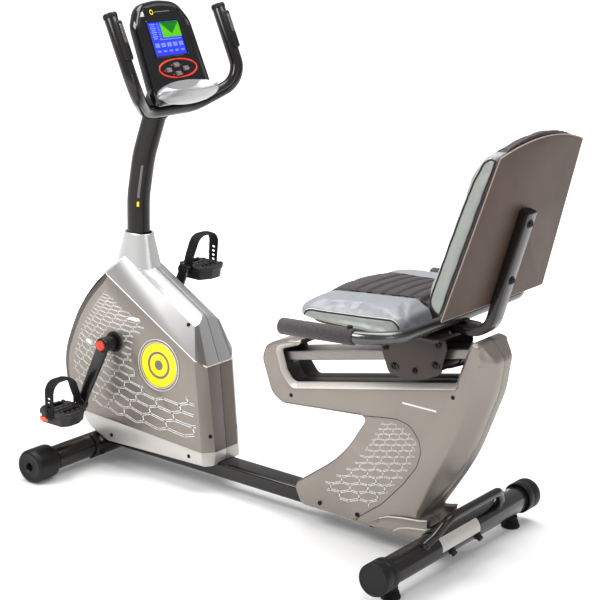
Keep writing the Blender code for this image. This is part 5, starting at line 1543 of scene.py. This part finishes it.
def bracket():
    sine, cosine = math.sin(BACK_TILT), math.cos(BACK_TILT)

    def on_back(up, out):
        return BACK_X + up * sine + out * cosine, BACK_Z + up * cosine - out * sine

    low, deep = 0.513, 0.022
    front_top, rear_top = on_back(0.213, 0.0006), on_back(0.213, deep)
    inner_x, outer_x = on_back(-0.052, 0.0006)[0], on_back(-0.0745, deep)[0]
    outline = rounded([(*front_top, 0.001), (*rear_top, 0.001), (outer_x, low, 0.058), (-0.042, low, 0.001),
                       (-0.042, low + deep, 0.001), (inner_x, low + deep, 0.034)], 12)
    bar = slab(outline, -0.019, 0.019, 0.0016, steps=2)
    parts = [(bar, BLACK)]
    cap = slab(rect(-0.0175, 0, 0.0175, 0.019, 0.003, 4), 0, 0.0035, 0.0012, "Z", 2)
    turn = Matrix(((0, cosine, sine, 0), (1, 0, 0, 0), (0, -sine, cosine, 0), (0, 0, 0, 1)))
    x, z = on_back(0.2115, 0.002)
    parts.append((moved(cap, Matrix.Translation((x, 0, z)) @ turn), RUBBER))
    for up in (0.19, 0.062):
        x, z = on_back(up, deep)
        parts.append((bolt((x, 0, z), (cosine, 0, -sine), 0.0072, 0.0058), SATIN))
    for y in (-0.028, 0.028):
        parts.append((bolt((-0.03, y, 0.5128), (0, 0, 1), 0.0052, 0.004), STEEL))
    joined("back_bracket", parts, "seat", "backrest_bracket", 30)


# ---------------------------------------------------------------- upholstery
def curve_at(table, x):
    """Straight-line value at x from sorted (x, value) pairs."""
    if x <= table[0][0]:
        return table[0][1]
    for (a, u), (b, w) in zip(table, table[1:]):
        if x <= b:
            return u + (w - u) * (x - a) / (b - a)
    return table[-1][1]


CLOTH_FRAMES, VOXEL, FILL = 20, 0.005, 0.7


def pad_block(outline, layers):
    """The pad's rough form, one unit thick, with its end faces split into triangles."""
    pad = layered(spread_points(outline, 0.012), layers, "Z")
    bm = bmesh.new()
    bm.from_mesh(pad.data)
    bmesh.ops.triangulate(bm, faces=[f for f in bm.faces if len(f.verts) > 4])
    bm.to_mesh(pad.data)
    bm.free()
    return pad


def remeshed(made):
    """An even skin of small faces that the cloth can stretch."""
    change = made.modifiers.new("Remesh", "REMESH")
    change.mode, change.voxel_size, change.adaptivity = "VOXEL", VOXEL, 0.0
    return relax(apply(made), 3)


def relax(made, rounds):
    change = made.modifiers.new("Smooth", "SMOOTH")
    change.factor, change.iterations = 0.5, rounds
    return apply(made)


def swell(made, pressure, cap, held):
    """Blows the cover out from inside as cloth; no point moves further than cap."""
    start = [v.co.copy() for v in made.data.vertices]
    group = made.vertex_groups.new(name="held")
    group.add([v.index for v in made.data.vertices if held(v.co)], 1.0, "REPLACE")
    cloth = made.modifiers.new("Cloth", "CLOTH")
    rules = cloth.settings
    rules.quality, rules.mass = 5, 0.3
    rules.tension_stiffness = rules.compression_stiffness = 18
    rules.shear_stiffness, rules.bending_stiffness = 8, 2.0
    rules.use_pressure, rules.uniform_pressure_force = True, pressure
    rules.effector_weights.gravity = 0
    rules.vertex_group_mass = "held"
    cloth.point_cache.frame_start, cloth.point_cache.frame_end = 1, CLOTH_FRAMES
    for number in range(1, CLOTH_FRAMES + 1):
        scene.frame_set(number)
        bpy.context.view_layer.update()
    blown = made.evaluated_get(bpy.context.evaluated_depsgraph_get())
    ends = [v.co.copy() for v in blown.to_mesh().vertices]
    blown.to_mesh_clear()
    made.modifiers.clear()
    made.vertex_groups.clear()
    scene.frame_set(1)
    for vertex, one, two in zip(made.data.vertices, start, ends):
        move = two - one
        vertex.co = one + move * min(1.0, cap / max(move.length, 0.000001))
    return relax(made, 4)


def finer(made):
    change = made.modifiers.new("Subdivision", "SUBSURF")
    change.levels = change.render_levels = 1
    return apply(made)


def pressed(made, amount):
    """Moves each point along its normal by amount(point, normal)."""
    made.data.update()
    normals = [v.normal.copy() for v in made.data.vertices]
    for vertex, normal in zip(made.data.vertices, normals):
        vertex.co += normal * amount(vertex.co, normal)
    made.data.update()
    return made


def stitched(pad, panel, channels, depth, width, bow, crumple, free, puff=0.0):
    """Sinks the sewn lines: the seam beside the middle panel and the bowed channels across it.

    depth holds the seam's and the channels' depth, crumple the scale of the puckers along and across, and
    free(point, normal) says whether a point lies on the cover and whether on the part with channels.
    """
    def move(p, normal):
        on_cover, on_face = free(p, normal)
        if not on_cover:
            return 0.0
        edge = abs(p.y) - curve_at(panel, p.x)
        drop = depth[0] * math.exp(-(edge / 0.0035) ** 2)
        if edge < 0.004 and on_face:
            inside = min(1.0, max(0.0, -edge / 0.016))
            for line in channels:
                bend = line + bow * p.y ** 2
                drop += depth[1] * (0.25 + 0.75 * inside) * math.exp(-((p.x - bend) / width) ** 2)
            drop -= puff * inside
        along, across = crumple
        return noise.noise(Vector((p.x * along, p.y * across, p.z * along))) * 0.0005 - drop

    return pressed(pad, move)


def surface_tree(made):
    bm = bmesh.new()
    bm.from_mesh(made.data)
    tree = BVHTree.FromBMesh(bm)
    bm.free()
    return tree


def piping(tree, path, radius, lift):
    """Cord laid along the cover; each point settles on the nearest part of its surface."""
    points = []
    for point in spread_points([Vector(p) for p in path], 0.006, False):
        spot, normal, _, _ = tree.find_nearest(point)
        points.append(spot + normal * radius * lift)
    for _ in range(3):
        inner = [(a + b * 2 + c) / 4 for a, b, c in zip(points, points[1:], points[2:])]
        points = [points[0], *inner, points[-1]]
    return sweep(points, radius, 12)


SEAT_RISE = [(-0.345, 0.55), (-0.325, 0.556), (-0.3, 0.559), (-0.27, 0.562), (-0.236, 0.564),
             (-0.164, 0.57), (-0.094, 0.575), (-0.055, 0.5755), (-0.036, 0.57)]
SEAT_CHANNELS = (-0.236, -0.203, -0.17, -0.138, -0.105, -0.072)
SEAT_SIDE = [(-0.284, 0.537), (-0.281, 0.545), (-0.274, 0.553), (-0.26, 0.56), (-0.236, 0.5645),
             (-0.164, 0.571), (-0.094, 0.5755), (-0.064, 0.5765), (-0.046, 0.572), (-0.034, 0.562),
             (-0.03, 0.548), (-0.0295, 0.537)]


def seat_cushion():
    outline = rounded([(-0.298, -0.2135, 0.045), (-0.0375, -0.2095, 0.026), (-0.0375, 0.2095, 0.026),
                       (-0.298, 0.2135, 0.045), (-0.33, 0.0, 0.3)], 8)
    pad = pad_block(outline, [(0.004, 0.0), (0.0, 0.06), (0.0, 0.62), (0.003, 0.82), (0.01, 0.96),
                              (0.022, 1.0)])
    for vertex in pad.data.vertices:
        x, y, part = vertex.co
        vertex.co.z = SEAT_Z + 0.0004 + part * (curve_at(SEAT_RISE, x) - SEAT_Z)
    pad = remeshed(pad)
    for vertex in pad.data.vertices:
        x, y, z = vertex.co
        height = max(0.0, min(1.0, (z - SEAT_Z) / 0.03))
        roll = max(0.0, min(1.0, (x + 0.338) / 0.075))
        vertex.co.z += height * 0.011 * (1 - (y / 0.215) ** 2) * math.sin(roll * math.pi / 2) ** 1.2
    pad = finer(swell(pad, 4.0, 0.007, lambda p: p.z < SEAT_Z + 0.003))
    panel = [(-0.345, 0.108), (-0.29, 0.106), (-0.23, 0.1), (-0.15, 0.092), (-0.09, 0.086), (-0.036, 0.082)]

    stitched(pad, panel, SEAT_CHANNELS, (0.0028, 0.0046), 0.0042, 1.0, (60, 22),
             lambda p, normal: (p.z >= SEAT_Z + 0.004 and normal.z >= -0.3, True), 0.0012)
    for vertex in pad.data.vertices:
        vertex.co.z = max(vertex.co.z, SEAT_Z + 0.0003)
    tree = surface_tree(pad)

    def paint(centre, normal):
        if centre.x > -0.284 and centre.x < -0.029 and abs(centre.y) > 0.195:
            if centre.z < curve_at(SEAT_SIDE, centre.x) - 0.0002 and normal.z < 0.8:
                return 0
        return 1 if abs(centre.y) < curve_at(panel, centre.x) else 2

    top = ((-0.335, 0.548), (-0.325, 0.565), (-0.3, 0.585), (-0.26, 0.6), (-0.2, 0.605), (-0.15, 0.605),
           (-0.1, 0.605), (-0.06, 0.6), (-0.04, 0.59), (-0.032, 0.57))
    cords = []
    for side in SIDES.values():
        welt = [(x, side * 0.215, z + 0.0034) for x, z in SEAT_SIDE[2:-2]]
        seam = [(x, side * curve_at(panel, x), z) for x, z in top]
        cords += [(piping(tree, [(x, side * 0.2165, z) for x, z in SEAT_SIDE], 0.0018, 0.35), PIPING),
                  (piping(tree, welt, 0.0014, 0.1), WELT), (piping(tree, seam, 0.0013, -0.2), PIPING)]
    finish(pad, "seat_pad_cover", [VINYL, VINYL_DARK, VINYL_TOP], "seat", "seat_cushion", 0, 0,
           paint)
    joined("seat_piping", cords, "seat", (), 0)


BACK_DEPTH = [(-0.004, 0.012), (0.004, 0.02), (0.0225, 0.0355), (0.05, 0.0405), (0.143, 0.0405),
              (0.215, 0.0392), (0.2815, 0.0367), (0.318, 0.029), (0.34, 0.0225), (0.36, 0.018),
              (0.384, 0.015)]
BACK_CHANNELS = (0.05, 0.09, 0.13, 0.17, 0.21, 0.25, 0.29)


def backrest():
    place, sheet = back_matrix(), BOARD_SHOWN

    def crest(start, rise, count):
        """Points of the bowed top edge between its corners."""
        steps = [k / 8 for k in range(count, -count - 1, -1)]
        return [(start + rise * (1 - step ** 2), 0.171 * step, 0.0) for step in steps]

    corners = spread_points(rounded([(0.0, -0.209, 0.005), (0.0, 0.209, 0.005), (0.346, 0.171, 0.004),
                                     *crest(0.346, 0.026, 7), (0.346, -0.171, 0.004)], 5), 0.02)
    board = layered(corners, [(0.002, -sheet), (0.0006, -sheet + 0.0006), (0.0, -sheet + 0.002),
                              (0.0, -0.0022), (0.0007, -0.0007), (0.0024, 0.0)], "Z")
    strip = layered(corners, [(0.0006, -0.0026), (-0.0004, -0.0021), (-0.0004, -0.0007), (0.0009, 0.0001),
                              (0.0019, -0.0004)], "Z", close=True)
    joined("back_panel", [(moved(board, place), BOARD), (moved(strip, place), BOARD_EDGE)], "seat",
           "back_board", 30)

    outline = rounded([(0.002, -0.209, 0.018), (0.002, 0.209, 0.018), (0.343, 0.172, 0.03),
                       *crest(0.343, 0.0385, 6), (0.343, -0.172, 0.03)], 8)
    pad = pad_block(outline, [(0.003, 0.0), (0.0, 0.08), (0.0, 0.66), (0.0025, 0.84), (0.008, 0.96),
                              (0.016, 1.0)])
    floor, base = -BOARD_SHOWN - 0.0005, -BOARD_THICK - 0.0005
    for vertex in pad.data.vertices:
        vertex.co.z = floor - vertex.co.z * (floor - base + curve_at(BACK_DEPTH, vertex.co.x))
    pad = remeshed(pad)
    for vertex in pad.data.vertices:
        up, across, out = vertex.co
        height = max(0.0, min(1.0, (floor - out) / 0.03))
        rise = max(0.0, math.sin(max(0.0, min(1.0, up / 0.375)) * math.pi)) ** 0.5
        vertex.co.z -= height * 0.0095 * (1 - (across / 0.21) ** 2) * rise
    pad = finer(swell(pad, 4.0, 0.006, lambda p: p.z > floor - 0.0025))
    panel = [(0.0, 0.092), (0.12, 0.104), (0.26, 0.124), (0.345, 0.138), (0.39, 0.142)]

    stitched(pad, panel, BACK_CHANNELS, (0.0026, 0.0044), 0.0045, -0.012 / 0.12 ** 2, (55, 24),
             lambda p, normal: (p.z <= floor - 0.004, normal.z < -0.5))
    for vertex in pad.data.vertices:
        vertex.co.z = min(vertex.co.z, floor)
    tree = surface_tree(pad)

    def half_width(up):
        return 0.2115 - 0.0375 * (up - 0.006) / 0.339

    front = [(0.3425, 0.001), (0.3415, 0.008), (0.338, 0.015), (0.329, 0.022), (0.318, 0.0272),
             (0.3, 0.0325), (0.2815, 0.036), (0.215, 0.0386), (0.143, 0.0398), (0.08, 0.0402),
             (0.045, 0.039), (0.0225, 0.035), (0.01, 0.024), (0.005, 0.015), (0.003, 0.003)]
    back = [(0.3425, 0.0015), (0.3, 0.0015), (0.2, 0.0015), (0.1, 0.0015), (0.02, 0.0015), (0.003, 0.002)]
    middle = [(0.372, 0.002), (0.375, 0.016), (0.362, 0.03), (0.33, 0.045), (0.25, 0.056), (0.15, 0.062),
              (0.06, 0.058), (0.012, 0.046), (0.0, 0.026), (0.0, 0.004)]
    cords = []
    for side in SIDES.values():
        rim = [(up, side * half_width(up), (base if deep > 0.004 else floor) - deep) for up, deep in front]
        welt = [(up, across - side * 0.0035, out - 0.003) for up, across, out in rim[1:-2]]
        rear = [(up, side * half_width(up), floor - deep) for up, deep in back]
        seam = [(up, side * curve_at(panel, up), base - deep) for up, deep in middle]
        for line, radius, lift, paint in ((rim, 0.0019, 0.35, PIPING), (welt, 0.0013, 0.05, WELT),
                                          (rear, 0.0017, 0.45, PIPING), (seam, 0.0013, -0.2, PIPING)):
            cords.append((moved(piping(tree, line, radius, lift), place), paint))

    def shade(centre, normal):
        up, across, _ = centre
        if abs(across) > 0.15 and up < 0.342 and abs(normal.y) > 0.45:
            return 0
        return 1 if abs(across) < curve_at(panel, up) else 2

    vinyls = [VINYL, VINYL_DARK, VINYL_TOP]
    for one in vinyls:
        pad.data.materials.append(one)
    for face in pad.data.polygons:
        face.material_index = shade(face.center, face.normal)
    finish(moved(pad, place), "back_pad_cover", vinyls, "seat", "backrest_cushion", 0)
    joined("back_piping", cords, "seat", (), 0)


# ---------------------------------------------------------------- nodes that stay, with finer finishes
def carried_over():
    for node, paint in {"drive_frame": BLACK, "flywheel": STEEL, "flywheel_axle": STEEL,
                        "drive_pulley": SATIN, "drive_belt": RUBBER, "magnet_bracket": PLATE,
                        "rear_frame": BLACK, "power_inlet": SATIN}.items():
        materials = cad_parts[node].data.materials
        materials.clear()
        materials.append(paint)


def surroundings():
    floor = slab(rect(-60.0, -60.0, 60.0, 60.0, 1.0, 4), -0.05, -0.0004, 0.01, "Z", 2)
    floor.name = "studio_floor"
    m = Nodes("studio_floor")
    middle = m.add("ShaderNodeMapping", {"Vector": m.place})
    middle.inputs["Location"].default_value = (-OX + 0.5, 0.0, 0.0)
    distance = m.add("ShaderNodeVectorMath", {"Vector": middle.outputs["Vector"]},
                     operation="LENGTH").outputs["Value"]
    tone = m.blend(m.noise(1.2, 3.0), (0.86, 0.86, 0.86), (0.9, 0.9, 0.9))
    m.put(Base_Color=tone, Roughness=0.75, Normal=m.bump(m.noise(260.0, 2.0), 0.04, 0.001),
          Emission_Color=tone, Emission_Strength=m.range(distance, 0.1, 0.7, 0.9, 2.6))
    floor.data.materials.append(m.made)
    world = bpy.data.worlds.new("studio")
    scene.world = world
    world.use_nodes = True
    world.node_tree.nodes["Background"].inputs["Color"].default_value = (1.0, 1.0, 1.0, 1.0)
    world.node_tree.nodes["Background"].inputs["Strength"].default_value = 0.5
    softbox("key", (-1.9, -2.6, 3.0), (-0.5, 0, 0.4), (2.2, 1.8), 95.0)
    softbox("top", (-0.5, 0.4, 3.2), (-0.5, 0, 0.3), (3.6, 1.8), 95.0)
    softbox("side", (2.9, -1.2, 1.9), (-0.3, 0, 0.5), (1.2, 2.0), 14.0)
    scene.view_settings.view_transform = "Standard"
    scene.view_settings.gamma = 0.8
    scene.view_settings.exposure = 0.1


camera()
surroundings()
main_casing()
casing_marks()
boot()
ground_frame()
axle()
twins(crank)
twins(pedal)
steering()
console()
rear_casing()
carriage()
seat_handles()
bracket()
seat_cushion()
backrest()
carried_over()
